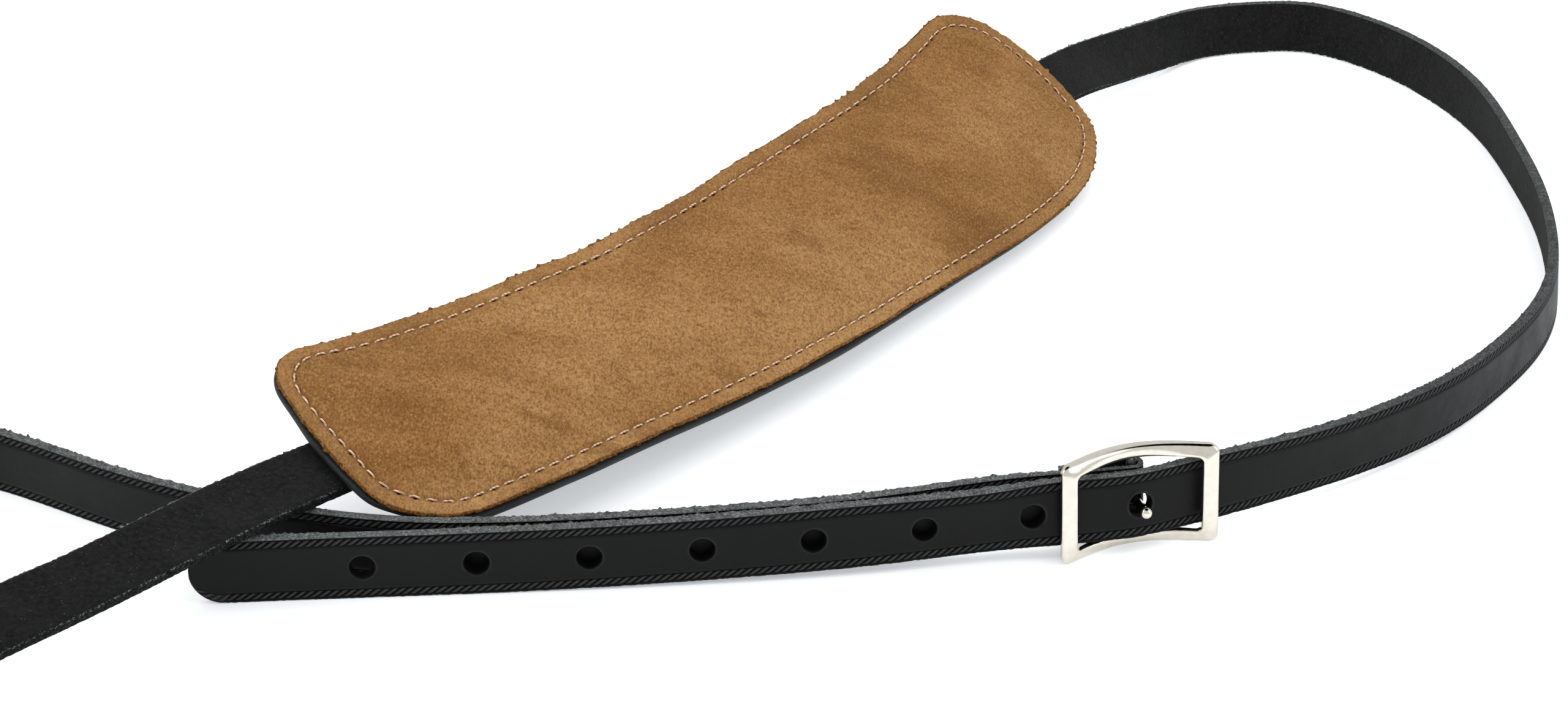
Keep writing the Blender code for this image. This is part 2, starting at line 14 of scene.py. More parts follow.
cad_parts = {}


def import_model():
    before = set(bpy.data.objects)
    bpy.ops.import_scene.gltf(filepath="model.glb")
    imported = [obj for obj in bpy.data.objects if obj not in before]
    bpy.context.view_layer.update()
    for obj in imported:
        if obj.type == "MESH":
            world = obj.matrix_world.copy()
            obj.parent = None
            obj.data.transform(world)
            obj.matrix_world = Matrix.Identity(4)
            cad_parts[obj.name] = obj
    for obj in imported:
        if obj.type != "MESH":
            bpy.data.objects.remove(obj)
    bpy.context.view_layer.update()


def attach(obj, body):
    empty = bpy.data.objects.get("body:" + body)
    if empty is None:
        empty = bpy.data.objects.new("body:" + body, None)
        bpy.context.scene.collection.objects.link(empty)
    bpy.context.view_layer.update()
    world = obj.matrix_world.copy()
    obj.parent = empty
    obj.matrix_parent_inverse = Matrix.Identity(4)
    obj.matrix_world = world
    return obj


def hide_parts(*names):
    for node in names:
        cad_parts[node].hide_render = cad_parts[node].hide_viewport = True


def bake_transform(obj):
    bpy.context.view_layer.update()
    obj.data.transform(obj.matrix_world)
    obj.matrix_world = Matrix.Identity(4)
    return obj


# ---- sizes, in millimetres
ORIGIN = np.array((-76.02, 706.37, 0.0))    # layout point at the part's origin
UP = np.array((0.0, 0.0, 1.0))

CAMERA_HEIGHT = 355.4
CAMERA_PITCH = 27.0
CAMERA_LENS = 69.89

STRAP_WIDTH = 15.9
STRAP_THICK = 2.8
SKIVED_THICK = 1.4
STATION_STEP = 0.31
TIP_LENGTH = 7.5
HOLE_COUNT = 8
HOLE_PITCH = 25.1
HOLE_DIAMETER = 5.6
ROPE_OUTER = 7.35
ROPE_INNER = 5.65
ROPE_PITCH = 1.84
ROPE_SLANT = 1.25
ROPE_DEPTH = 0.30
DYED_MIDDLE = 440.0           # along the strap, where its edges kept the most dye
UNDER_PAD = (-88.0, 589.0)    # where the pad's corner lies over the strap
FLAT_REACH = 7.6              # half width of the strap's back inside its torn edges
BACK_COLUMNS = 13             # vertices across that back
SKIVE_START = 30.0            # the strap starts to thin this far before the buckle's bar
SKIVE_LENGTH = 18.0
GRAIN, FLESH, EDGE, SHADED_LOW_EDGE, LINT = range(5)    # the strap's materials, in order

BUCKLE_LENGTH = 38.6
BUCKLE_HEIGHT = 24.0
BUCKLE_YAW = math.radians(17.3)
BUCKLE_LEAN = 6.0
BUCKLE_CORNER = (62.8, 594.1)
END_BAR = 4.0
RAIL = 3.0
END_THICK = 2.2
RAIL_THICK = 3.2
RAIL_BOW = 4.8
OUTER_CORNER = 2.0
INNER_CORNER = 1.2
BAR_X = 19.5
BAR_Y = 7.5
BAR_DIAMETER = 2.8
STRAP_Z_AT_BUCKLE = 11.4
STRAP_AT_BAR = 2.75           # depth of the strap's middle where it passes the bar
FOLD_GAP = 0.3                # between the bar and the fold round it
FOLD_END = 2.9
FOLD_STEP = 0.5
RIVET_X = 8.5

PAD_CORNER_DROOP = 3.2
PAD_COLUMNS = 540             # cells of the pad's fine patch, along and across
PAD_ROWS = 130
CLOTH_STEP = 10               # fine cells to one cell of the simulated cloth
PAD_CROWN = 3.4
PAD_BACK = (3.1, 4.75)        # underside and top of the black back
PAD_SUEDE = (4.85, 6.1)       # underside and top of the suede rim
PATCH_INSET = 6.3             # where the pad's rings give way to its fine patch
HOLLOW = 0.8                  # how much of the crown the suede's underside follows
CLOTH_PRESSURE = 4.0
CLOTH_FRAMES = 20
SEAM_SAMPLES = 4000
STITCH_INSET = 4.3
STITCH_PITCH = 4.2
STITCH_LENGTH = 3.3
STITCH_RADIUS = 0.24

EYE_CENTRE = (-296.0, 558.0, 12.9)
HOOK_DROOP = math.radians(6.5)
EYE_ROD = 1.5
BOLT_RADIUS = 2.5
BOLT_TIP = 61.6
SPRING_ENDS = (20.9, 33.7)    # along the hook, the end in the barrel and the end on the bolt


def at_buckle(along, depth, height=STRAP_Z_AT_BUCKLE, tilt=-BUCKLE_LEAN):
    """A layout point given in the buckle's own leaning frame (along, depth)."""
    c, s = math.cos(BUCKLE_YAW), math.sin(BUCKLE_YAW)
    depth += (height - STRAP_Z_AT_BUCKLE) * math.tan(math.radians(BUCKLE_LEAN))
    x = BUCKLE_CORNER[0] + along * c - depth * s
    y = BUCKLE_CORNER[1] + along * s + depth * c
    return (x, y, height, tilt)


def buckle_axis(first, second):
    """Unit vector between two (along, depth, height) points of the buckle's frame."""
    step = np.array(at_buckle(*second)[:3]) - np.array(at_buckle(*first)[:3])
    return step / np.linalg.norm(step)


DEPTH_AXIS = buckle_axis((0, 0), (0, 1))
LEAN_AXIS = buckle_axis((0, 0, 0), (0, 0, 1))

# Centreline of the strap as (x, y, height, tilt), the same route as the CAD's.
ROUTE = [
    (-131.6, 578.1, 8.0, 0), (-104, 580.2, 8.0, 0), (-59, 583.2, 8.2, 0),
    (-14, 587.0, 9.2, 0), (25, 592.1, 10.3, 0), (51.9, 596.7, 11.2, 0),
    at_buckle(0.0, 4.6), at_buckle(9.5, 3.4), at_buckle(BAR_X, STRAP_AT_BAR),
    at_buckle(28.5, 3.7), at_buckle(37.0, 5.0),
    (118.6, 622.1, 10.6, 0), (145.3, 640.9, 9.4, 0), (165.4, 660.0, 8.6, 0),
    (179.5, 678.0, 8.1, 0), (191.0, 695.6, 8.0, -2), (199.8, 714.8, 8.1, -4),
    (206.5, 742.0, 8.1, -6), (210.1, 773.0, 8.2, -8), (210.3, 808.0, 8.2, -7),
    (207.2, 848.5, 8.1, -2), (199.8, 874.2, 8.0, 3), (190.5, 892.2, 8.1, 4),
    (180.3, 904.9, 8.1, 4), (166.0, 914.6, 8.1, 5), (152.6, 915.0, 8.1, 8),
    (130.6, 908.8, 8.1, 14), (117.2, 897.1, 8.9, 24), (107.6, 886.2, 10.3, 29),
    (101.6, 878.1, 11.7, 35), (91.7, 863.1, 14.6, 45.5), (82.2, 847.5, 17.0, 55.5),
    (61.6, 814.5, 17.7, 58.9), (40.2, 782.1, 18.3, 62), (-5.1, 719.1, 19.3, 67),
    (-53.6, 658.6, 20.0, 70),
    (-105.3, 600.5, 20.5, 71), (-120.5, 584.5, 20.8, 70), (-137.1, 565.9, 20.3, 69),
    (-152.8, 551.7, 18.5, 67), (-168.3, 539.4, 16.6, 62),
    (-190, 521, 14.3, 53), (-214, 506, 12.8, 40), (-240, 500, 12.0, 28),
    (-265, 505, 11.7, 15), (-285, 520, 12.0, 6), (-295.5, 543, 12.5, 0),
    (-296, 572, 12.5, 0), (-287, 602, 10.7, 0), (-268, 626, 9.0, 0),
    (-243, 639, 8.3, 0), (-215, 639.5, 8.0, 0), (-185, 629.2, 8.0, 0),
    (-157.3, 612.7, 8.0, 0), (-131, 599.8, 8.0, 0), (-105, 591.4, 8.0, 0),
    (-86, 587.9, 8.0, 0), (-59, 587.5, 8.1, 0), (-14, 590.9, 9.0, 0),
    (25, 596.1, 10.2, 0), at_buckle(-9.8, 9.4), at_buckle(0.0, 8.3), at_buckle(9.5, 6.9),
    at_buckle(BAR_X, 5.8),
]

# The strap's centreline under the pad: left end, middle, right end.
PAD_SPINE = [np.array(p) for p in ((-105.3, 600.5, 20.5), (-5.1, 719.1, 19.3), (82.2, 847.5, 17.0))]
PAD_ROLL = (19.0, 16.0)

PAD_OUTLINE = [
    (2, -16.3), (1.4, -8), (2, 1.5), (3.1, 11), (4.4, 18), (6.5, 24.5), (10.5, 28.8),
    (16, 30.6), (23, 29.6), (33, 27.9), (58, 25.2), (84, 24), (106, 23), (129, 23.2),
    (159, 24.7), (191, 26.4), (220, 27.9), (242, 29.4), (262, 32.4), (273, 34.2),
    (281, 34.6), (288, 32.4), (293.5, 27.5), (297.5, 20), (300, 9), (300.2, 0),
    (299, -9), (295.8, -17.7), (290.5, -23.4), (282, -28.3), (270, -32.2), (253, -34.9),
    (229, -36.4), (194, -36.8), (168, -37.3), (144, -37.9), (121, -37.7), (92, -36.7),
    (67, -35.4), (40.2, -34.1), (23.9, -31.6), (15, -29), (8.9, -24.5), (4.3, -20.1),
]


# ---- curves
def unit(vectors):
    """The vectors along the last axis, each made one long."""
    return vectors / np.linalg.norm(vectors, axis=-1, keepdims=True)


def read_off(dense, run, at):
    """Rows of a dense curve read off at the given distances along it."""
    return np.stack([np.interp(at, run, column) for column in dense.T], axis=1)


def spline_rows(points, parameter, at):
    """Natural cubic spline through the rows of points, evaluated at the given parameters."""
    rows = np.array(points, float)
    gaps = np.diff(parameter)
    count = len(rows)
    system = np.eye(count)
    right = np.zeros_like(rows)
    for i in range(1, count - 1):
        system[i, i - 1:i + 2] = (gaps[i - 1], 2 * (gaps[i - 1] + gaps[i]), gaps[i])
        right[i] = 6 * ((rows[i + 1] - rows[i]) / gaps[i] - (rows[i] - rows[i - 1]) / gaps[i - 1])
    bend = np.linalg.solve(system, right)
    k = np.clip(np.searchsorted(parameter, at, side="right") - 1, 0, count - 2)
    a = ((parameter[k + 1] - at) / gaps[k])[:, None]
    b = 1 - a
    g2 = (gaps[k] ** 2)[:, None] / 6
    return a * rows[k] + b * rows[k + 1] + ((a ** 3 - a) * bend[k] + (b ** 3 - b) * bend[k + 1]) * g2


def arc_lengths(points, dims=3):
    """Distance from the first point to each point along the polyline."""
    steps = np.linalg.norm(np.diff(np.array(points)[:, :dims], axis=0), axis=1)
    return np.concatenate(([0.0], np.cumsum(steps)))


def smooth_curve(points, distances=None, step=None):
    """Rows along a smooth curve, at the given distances or evenly about one step apart."""
    parameter = arc_lengths(points)
    dense_at = np.linspace(0, parameter[-1], 120 * len(points))
    dense = spline_rows(points, parameter, dense_at)
    run = arc_lengths(dense)
    if distances is None:
        distances = np.linspace(0, run[-1], max(2, round(run[-1] / step) + 1))
    return read_off(dense, run, distances)


def closed_curve(points, count):
    """An even closed curve of count rows through the points."""
    wrap = 4
    padded = points[-wrap:] + points + points[:wrap + 1]
    parameter = arc_lengths(padded, 2)
    dense_at = np.linspace(parameter[wrap], parameter[wrap + len(points)], 60 * len(points))
    dense = spline_rows(padded, parameter, dense_at)
    run = arc_lengths(dense, 2)
    return read_off(dense, run, np.linspace(0, run[-1], count + 1)[:-1])


def ribbon_frames(rows):
    """Width direction and flesh normal of each row of a route with a tilt column."""
    travel = unit(np.gradient(rows[:, :3], axis=0))
    left = unit(np.cross(UP, travel))
    rise = np.cross(travel, left)
    tilt = np.radians(rows[:, 3])[:, None]
    width = np.cos(tilt) * rise - np.sin(tilt) * left
    flesh = np.cos(tilt) * left + np.sin(tilt) * rise
    return width, flesh


def ease(value):
    """Smooth step from 0 to 1, for numbers or arrays."""
    f = np.clip(value, 0.0, 1.0)
    return f * f * (3 - 2 * f)


def smooth_noise(count, reach, seed, closed=False):
    """Random values with a standard deviation of 1, smoothed over about reach samples."""
    values = np.random.default_rng(seed).standard_normal(count + (0 if closed else 8 * reach))
    window = np.hanning(4 * reach + 1)
    if closed:
        values = np.concatenate((values[-2 * reach:], values, values[:2 * reach]))
    smooth = np.convolve(values, window / np.sqrt((window ** 2).sum()), mode="valid")
    return smooth[:count]


def fuzz(count, seed, fine=0.08, tuft=0.26, rarity=1.0, closed=False):
    """Torn fibre: small noise with rarer tufts that stand out further."""
    tufts = np.clip(smooth_noise(count, 1, seed + 100, closed) - rarity, 0, 2.0)
    return fine * smooth_noise(count, 1, seed, closed) + tuft * tufts


# ---- mesh helpers
def to_world(points):
    """Layout millimetres to metres in the part's frame."""
    return (np.asarray(points, float) - ORIGIN) * 0.001


def add_object(name, data):
    """A new object in the scene that holds the given mesh, light or camera."""
    obj = bpy.data.objects.new(name, data)
    bpy.context.collection.objects.link(obj)
    return obj


def discard(obj):
    """Remove a helper object and its mesh."""
    mesh = obj.data
    bpy.data.objects.remove(obj, do_unlink=True)
    bpy.data.meshes.remove(mesh)


def mesh_object(name, verts, faces, materials, face_materials=None, uvs=None):
    """An object from world vertices; uvs holds one pair for each corner of each face."""
    mesh = bpy.data.meshes.new(name)
    mesh.from_pydata([tuple(v) for v in verts], [], [tuple(f) for f in faces])
    for mat in materials:
        mesh.materials.append(mat)
    if face_materials is not None:
        mesh.polygons.foreach_set("material_index", np.asarray(face_materials, dtype=np.int32))
    if uvs is not None:
        layer = mesh.uv_layers.new(name="UVMap")
        layer.data.foreach_set("uv", np.asarray(uvs, dtype=np.float32).ravel())
    mesh.shade_smooth()
    mesh.update()
    return add_object(name, mesh)


def grid_faces(rows, columns):
    """Quads between closed rings of vertices, as an array of four indices each."""
    r0, c0 = np.meshgrid(np.arange(rows - 1), np.arange(columns), indexing="ij")
    r1, c1 = r0 + 1, (c0 + 1) % columns
    return np.stack((r0 * columns + c0, r0 * columns + c1, r1 * columns + c1, r1 * columns + c0),
                    axis=-1).reshape(-1, 4)


def from_bmesh(name, bm, mat, matrix=None, sharp=40.0):
    """An object from a bmesh drawn in layout millimetres, or in the frame that matrix gives."""
    bmesh.ops.recalc_face_normals(bm, faces=bm.faces)
    world = matrix or Matrix.Scale(0.001, 4) @ Matrix.Translation(-Vector(ORIGIN))
    bmesh.ops.transform(bm, matrix=world, verts=bm.verts)
    mesh = bpy.data.meshes.new(name)
    bm.to_mesh(mesh)
    bm.free()
    mesh.materials.append(mat)
    mesh.shade_smooth()
    mesh.set_sharp_from_angle(angle=math.radians(sharp))
    return add_object(name, mesh)


def loft(rings, closed=False):
    """A closed mesh through rings of equal count, capped at both ends or joined in a loop."""
    bm = bmesh.new()
    loops = [[bm.verts.new(p) for p in ring] for ring in rings]
    count = len(loops[0])
    pairs = list(zip(loops, loops[1:]))
    if closed:
        pairs.append((loops[-1], loops[0]))
    for first, second in pairs:
        for i in range(count):
            j = (i + 1) % count
            bm.faces.new((first[i], first[j], second[j], second[i]))
    if not closed:
        bm.faces.new(loops[0])
        bm.faces.new(loops[-1])
    return bm


def tube(points, radius, sides=10, closed=False):
    """A round rod along the points; radius is one number or one for each point."""
    pts = np.array(points, float)
    radii = np.broadcast_to(radius, len(pts))
    if closed:
        travel = np.roll(pts, -1, axis=0) - np.roll(pts, 1, axis=0)
    else:
        travel = np.gradient(pts, axis=0)
    travel = unit(travel)
    side = np.cross(travel[0], UP if abs(travel[0][2]) < 0.9 else np.array((1.0, 0, 0)))
    angles = np.arange(sides) * 2 * math.pi / sides
    rings = []
    for p, t, r in zip(pts, travel, radii):
        side = side - t * np.dot(side, t)
        side /= np.linalg.norm(side)
        other = np.cross(t, side)
        rings.append(p + r * (np.cos(angles)[:, None] * side + np.sin(angles)[:, None] * other))
    return loft(rings, closed)


def turned(profile, sides=32, at=(0, 0, 0), axis=(1, 0, 0)):
    """A solid of revolution from (distance along the axis, radius) pairs."""
    x = Vector(axis).normalized()
    y = x.orthogonal().normalized()
    z = x.cross(y)
    rings = []
    for along, radius in profile:
        centre = Vector(at) + x * along
        angles = [2 * math.pi * i / sides for i in range(sides)]
        rings.append([centre + radius * (math.cos(a) * y + math.sin(a) * z) for a in angles])
    return loft(rings)


def rounded_profile(points, radius, steps=3):
    """The profile with each inner corner replaced by a short curve."""
    result = [points[0]]
    for before, here, after in zip(points, points[1:], points[2:]):
        a, b, c = Vector(before), Vector(here), Vector(after)
        reach = min(radius, (a - b).length * 0.45, (c - b).length * 0.45)
        start = b + (a - b).normalized() * reach
        end = b + (c - b).normalized() * reach
        for i in range(steps + 1):
            t = i / steps
            p = start * (1 - t) ** 2 + b * 2 * t * (1 - t) + end * t * t
            result.append((p.x, p.y))
    result.append(points[-1])
    return result


def cut(target, bm, matrix=None, operation="DIFFERENCE"):
    """Apply a Boolean with the solid in a bmesh; new faces take the target's first material."""
    tool = from_bmesh("tool", bm, target.data.materials[0], matrix)
    mod = target.modifiers.new("cut", "BOOLEAN")
    mod.operation = operation
    mod.solver = "EXACT"
    mod.object = tool
    bpy.context.view_layer.update()
    evaluated = target.evaluated_get(bpy.context.evaluated_depsgraph_get())
    mesh = bpy.data.meshes.new_from_object(evaluated)
    target.modifiers.remove(mod)
    old = target.data
    target.data = mesh
    bpy.data.meshes.remove(old)
    discard(tool)


# ---- materials
class Material:
    """A Principled material whose node tree is built one node at a time."""

    def __init__(self, name, **sockets):
        self.mat = bpy.data.materials.new(name)
        self.mat.use_nodes = True
        self.tree = self.mat.node_tree
        self.shader = self.tree.nodes["Principled BSDF"]
        for key, value in sockets.items():
            self.shader.inputs[key.replace("_", " ")].default_value = value

    def node(self, kind, inputs=None, **settings):
        """A new node; an input is a number, a colour or another node's output."""
        made = self.tree.nodes.new("ShaderNode" + kind)
        for key, value in settings.items():
            setattr(made, key, value)
        for key, value in (inputs or {}).items():
            if isinstance(value, bpy.types.NodeSocket):
                self.tree.links.new(value, made.inputs[key])
            else:
                made.inputs[key].default_value = value
        return made

    def coords(self, scale=(1.0, 1.0, 1.0)):
        """The object's own coordinates in metres, stretched by scale."""
        source = self.node("TexCoord").outputs["Object"]
        return self.node("Mapping", {"Vector": source, "Scale": scale}).outputs["Vector"]

    def own_uv(self):
        """The piece's own map: distance along and across the strap, or round and in from a rim."""
        return self.node("UVMap", uv_map="UVMap").outputs["UV"]

    def parts(self, vector):
        """A vector's X, Y and Z."""
        return self.node("SeparateXYZ", {"Vector": vector}).outputs

    def cells(self, vector, scale, feature="DISTANCE_TO_EDGE"):
        """Distance to the edges of random cells, or with F1 to their middles."""
        return self.node("TexVoronoi", {"Vector": vector, "Scale": scale},
                         feature=feature).outputs["Distance"]

    def noise(self, vector, scale, detail=2.0, roughness=0.5):
        made = self.node("TexNoise", {"Vector": vector, "Scale": scale, "Detail": detail,
                                      "Roughness": roughness})
        return made.outputs["Fac"]

    def math(self, operation, *values):
        return self.node("Math", dict(enumerate(values)), operation=operation).outputs[0]

    def times(self, first, second):
        return self.math("MULTIPLY", first, second)

    def plus(self, first, second):
        return self.math("ADD", first, second)

    def minus(self, first, second):
        return self.math("SUBTRACT", first, second)

    def span(self, value, low, high, out_low=0.0, out_high=1.0):
        """Map low to out_low and high to out_high, held at both ends."""
        made = self.node("MapRange", {0: value, 1: low, 2: high, 3: out_low, 4: out_high})
        return made.outputs[0]

    def ramp(self, value, *stops):
        """A colour from (position, colour) stops."""
        made = self.node("ValToRGB", {"Fac": value})
        elements = made.color_ramp.elements
        while len(elements) < len(stops):
            elements.new(0.5)
        for element, (position, colour) in zip(elements, stops):
            element.position = position
            element.color = (*colour, 1.0)
        return made.outputs["Color"]

    def mix(self, factor, first, second):
        """The first colour, or the second where factor is 1."""
        made = self.node("Mix", data_type="RGBA")
        for index, value in ((0, factor), (6, first), (7, second)):
            if isinstance(value, bpy.types.NodeSocket):
                self.tree.links.new(value, made.inputs[index])
            elif index == 0:
                made.inputs[index].default_value = value
            else:
                made.inputs[index].default_value = (*value, 1.0)
        return made.outputs[2]

    def bump(self, height, distance, strength=1.0, below=None):
        """A normal bumped by height, on top of another bump's where below is given."""
        inputs = {"Height": height, "Distance": distance, "Strength": strength}
        if below is not None:
            inputs["Normal"] = below
        return self.node("Bump", inputs).outputs["Normal"]

    def finish(self, colour, rough, normal=None):
        """Link what varies over the surface to the shader and give the material."""
        for key, value in (("Base Color", colour), ("Roughness", rough), ("Normal", normal)):
            if value is not None:
                self.tree.links.new(value, self.shader.inputs[key])
        return self.mat


def grain_leather():
    """Satin black grain: fine pores, faint creases, the embossed rope's crisp edges, and painted
    highlights: lighter crests on the rope's strands and a lighter ring round each hole's rim.
    """
    m = Material("black_grain", Specular_IOR_Level=0.13)
    metres = m.own_uv()
    pores = m.cells(metres, 2300.0)
    creases = m.noise(metres, 160.0, 4.0, 0.6)
    fine = m.noise(metres, 3200.0)
    parts = m.parts(metres)
    place = m.math("ABSOLUTE", parts["Y"])
    inner, outer = 0.001 * ROPE_INNER, 0.001 * ROPE_OUTER
    inside = m.times(m.span(place, inner - 0.0001, inner + 0.0001),
                     m.span(place, outer + 0.0001, outer - 0.0001))
    slanted = m.minus(parts["X"], m.times(parts["Y"], ROPE_SLANT))
    wave = m.math("ABSOLUTE", m.math("SINE", m.times(slanted, 1000 * math.pi / ROPE_PITCH)))
    strand = m.times(m.math("POWER", wave, 0.6), inside)
    colour = m.ramp(creases, (0.3, (0.0022, 0.0022, 0.0023)), (0.7, (0.0045, 0.0045, 0.0046)))
    # painted highlight: the crests of the rope's strands are lightened, standing for glints on them
    wear_and_glints = m.mix(m.span(strand, 0.55, 1.0, 0.0, 0.85), colour, (0.034, 0.034, 0.0342))
    runs = hole_runs()
    to_hole = m.math("PINGPONG", m.minus(parts["X"], 0.001 * runs[-1]), 0.0005 * HOLE_PITCH)
    from_hole = m.math("SQRT", m.plus(m.math("POWER", to_hole, 2.0), m.math("POWER", place, 2.0)))
    rim = 0.0005 * HOLE_DIAMETER
    middle = 0.0005 * (runs[0] + runs[-1])
    punched = m.math("COMPARE", parts["X"], middle, 0.0005 * HOLE_COUNT * HOLE_PITCH)
    # painted highlight: a lighter ring round the rim of each punched hole, standing for the light its
    # glossy rim catches
    ring = m.times(m.span(from_hole, rim + 0.0007, rim + 0.0003), punched)
    wear_and_glints = m.mix(m.times(ring, 0.3), wear_and_glints, (0.03, 0.03, 0.0305))
    rough = m.span(m.plus(creases, m.times(fine, 0.4)), 0.4, 1.0, 0.38, 0.58)
    height = m.plus(m.times(m.math("MINIMUM", pores, 0.12), 3.0), fine)
    small = m.bump(height, 0.00006, 0.5)
    wide = m.bump(creases, 0.0004, 0.25, small)
    glossed = m.minus(rough, m.times(m.math("MAXIMUM", strand, ring), 0.16))
    return m.finish(wear_and_glints, glossed, m.bump(strand, 0.0006, 1.0, wide))


def flesh_leather():
    """The rough back of the leather: black nap with pale lint caught in it and at its borders."""
    m = Material("black_flesh", Specular_IOR_Level=0.06, Sheen_Weight=0.035, Sheen_Roughness=0.6)
    metres = m.coords()
    nap = m.noise(metres, 900.0, 4.0, 0.65)
    patches = m.noise(metres, 90.0, 3.0, 0.6)
    lint = m.cells(metres, 1300.0, "F1")
    specks = m.times(m.span(lint, 0.2, 0.1), m.span(m.noise(metres, 420.0), 0.54, 0.62))
    base = m.ramp(nap, (0.3, (0.0025, 0.0025, 0.0026)), (0.75, (0.0135, 0.0135, 0.0131)))
    wear_and_glints = m.mix(m.span(patches, 0.45, 0.75, 0.0, 0.45), base, (0.015, 0.015, 0.0148))
    colour = m.mix(specks, wear_and_glints, (0.11, 0.11, 0.108))
    rough = m.span(nap, 0.2, 0.8, 0.85, 1.0)
    height = m.plus(nap, m.times(specks, 0.5))
    return m.finish(colour, rough, m.bump(height, 0.0006, 0.9))


def edge_leather(name, dark, middle, light):
    """A cut edge: torn fibre between the given tones, dyed darker in patches and round the wide loop."""
    m = Material(name, Specular_IOR_Level=0.05)
    metres = m.coords()
    fibre = m.noise(metres, 1700.0, 5.0, 0.75)
    stain = m.noise(metres, 380.0, 4.0, 0.65)
    tone = m.ramp(fibre, (0.33, dark), (0.52, middle), (0.72, light))
    stained = m.mix(m.span(stain, 0.5, 0.7, 0.0, 0.7), tone, dark)
    along = m.parts(m.own_uv())["X"]
    from_middle = m.math("ABSOLUTE", m.minus(along, 0.001 * DYED_MIDDLE))
    colour = m.mix(m.span(from_middle, 0.15, 0.24, 0.5, 0.0), stained, dark)
    rough = m.span(fibre, 0.2, 0.8, 0.85, 1.0)
    return m.finish(colour, rough, m.bump(fibre, 0.0007))


def suede_face():
    """Tan suede: brushed patches, short dark and light nap, and a soft sheen."""
    m = Material("tan_suede", Specular_IOR_Level=0.04, Sheen_Weight=0.12, Sheen_Roughness=0.5,
                 Sheen_Tint=(1.0, 0.78, 0.5, 1.0))
    metres = m.coords()
    patches = m.noise(metres, 15.0)
    brushed = m.noise(m.coords((1.0, 2.2, 1.0)), 55.0, 3.0, 0.55)
    clumps = m.noise(metres, 800.0, 3.0, 0.6)
    strands = m.noise(m.coords((1.0, 0.5, 1.0)), 2000.0, 4.0, 0.75)
    scuffs = m.span(m.noise(m.coords((1.0, 1.6, 1.0)), 42.0, 5.0, 0.62), 0.6, 0.67, 0.0, 0.55)
    base = m.ramp(m.plus(m.times(patches, 0.72), m.times(brushed, 0.28)),
                  (0.38, (0.205, 0.09, 0.025)), (0.5, (0.315, 0.152, 0.048)),
                  (0.62, (0.43, 0.232, 0.089)))
    scuffed = m.mix(scuffs, base, (0.17, 0.066, 0.014))
    clumped = m.mix(m.span(clumps, 0.36, 0.58, 0.5, 0.0), scuffed, (0.18, 0.072, 0.015))
    dark = m.mix(m.span(strands, 0.5, 0.36, 0.0, 0.8), clumped, (0.12, 0.044, 0.008))
    colour = m.mix(m.span(strands, 0.54, 0.7, 0.0, 0.6), dark, (0.58, 0.36, 0.155))
    parts = m.parts(m.own_uv())
    beside = m.math("ABSOLUTE", m.minus(m.math("FRACT", parts["X"]), 0.5))
    from_seam = m.math("ABSOLUTE", m.minus(parts["Y"], STITCH_INSET))
    hole = m.times(m.span(beside, 0.12, 0.06), m.span(from_seam, 0.5, 0.25))
    # the rim outside the seam is made a little lighter than the rest of the face
    outside = m.span(parts["Y"], STITCH_INSET, STITCH_INSET - 0.8, 0.0, 0.1)
    lighter_outside_seam = m.mix(outside, colour, (0.56, 0.33, 0.145))
    pressed = m.mix(m.span(from_seam, 0.9, 0.2, 0.0, 0.35), lighter_outside_seam, (0.12, 0.052, 0.014))
    pierced = m.mix(hole, pressed, (0.016, 0.006, 0.002))
    rough = m.span(clumps, 0.2, 0.8, 0.88, 1.0)
    height = m.plus(strands, m.times(clumps, 0.9))
    return m.finish(pierced, rough, m.bump(height, 0.0008, 0.75))


def suede_edge():
    """The suede's cut rim: darker orange-brown fibres."""
    m = Material("suede_cut_rim", Specular_IOR_Level=0.05)
    metres = m.coords()
    fibre = m.noise(metres, 1700.0, 4.0, 0.75)
    clumps = m.noise(metres, 330.0, 4.0, 0.7)
    base = m.ramp(fibre, (0.33, (0.05, 0.018, 0.005)), (0.5, (0.21, 0.09, 0.024)),
                  (0.7, (0.42, 0.21, 0.066)))
    level = m.parts(m.own_uv())["Y"]
    ragged = m.minus(clumps, m.times(level, 0.34))
    colour = m.mix(m.span(ragged, 0.6, 0.68, 0.0, 0.93), base, (0.016, 0.006, 0.003))
    return m.finish(colour, m.span(fibre, 0.2, 0.8, 0.85, 1.0), m.bump(fibre, 0.0007))


def back_leather():
    """Matt black garment leather for the pad's back and the keepers."""
    m = Material("black_back", Specular_IOR_Level=0.3)
    metres = m.coords()
    cells = m.cells(metres, 1500.0)
    folds = m.noise(metres, 120.0, 4.0, 0.6)
    fine = m.noise(metres, 2600.0, 3.0, 0.6)
    colour = m.ramp(m.plus(m.times(folds, 0.6), m.times(fine, 0.4)),
                    (0.35, (0.006, 0.007, 0.0072)), (0.65, (0.017, 0.019, 0.0195)))
    height = m.plus(m.times(m.math("MINIMUM", cells, 0.14), 3.0), folds)
    return m.finish(colour, m.span(fine, 0.3, 0.7, 0.5, 0.72), m.bump(height, 0.00012, 0.8))


def cream_thread():
    """Waxed pinkish cream thread with the ply's twist."""
    m = Material("cream_thread", Specular_IOR_Level=0.3, Sheen_Weight=0.1)
    metres = m.coords()
    ply = m.node("TexWave", {"Vector": metres, "Scale": 420.0, "Distortion": 1.5, "Detail": 2.0},
                 bands_direction="DIAGONAL").outputs["Fac"]
    lint = m.noise(metres, 3000.0)
    colour = m.ramp(m.plus(m.times(ply, 0.6), m.times(lint, 0.4)),
                    (0.25, (0.42, 0.245, 0.15)), (0.7, (0.78, 0.54, 0.39)))
    return m.finish(colour, m.span(lint, 0.3, 0.7, 0.55, 0.75), m.bump(ply, 0.00015, 0.6))


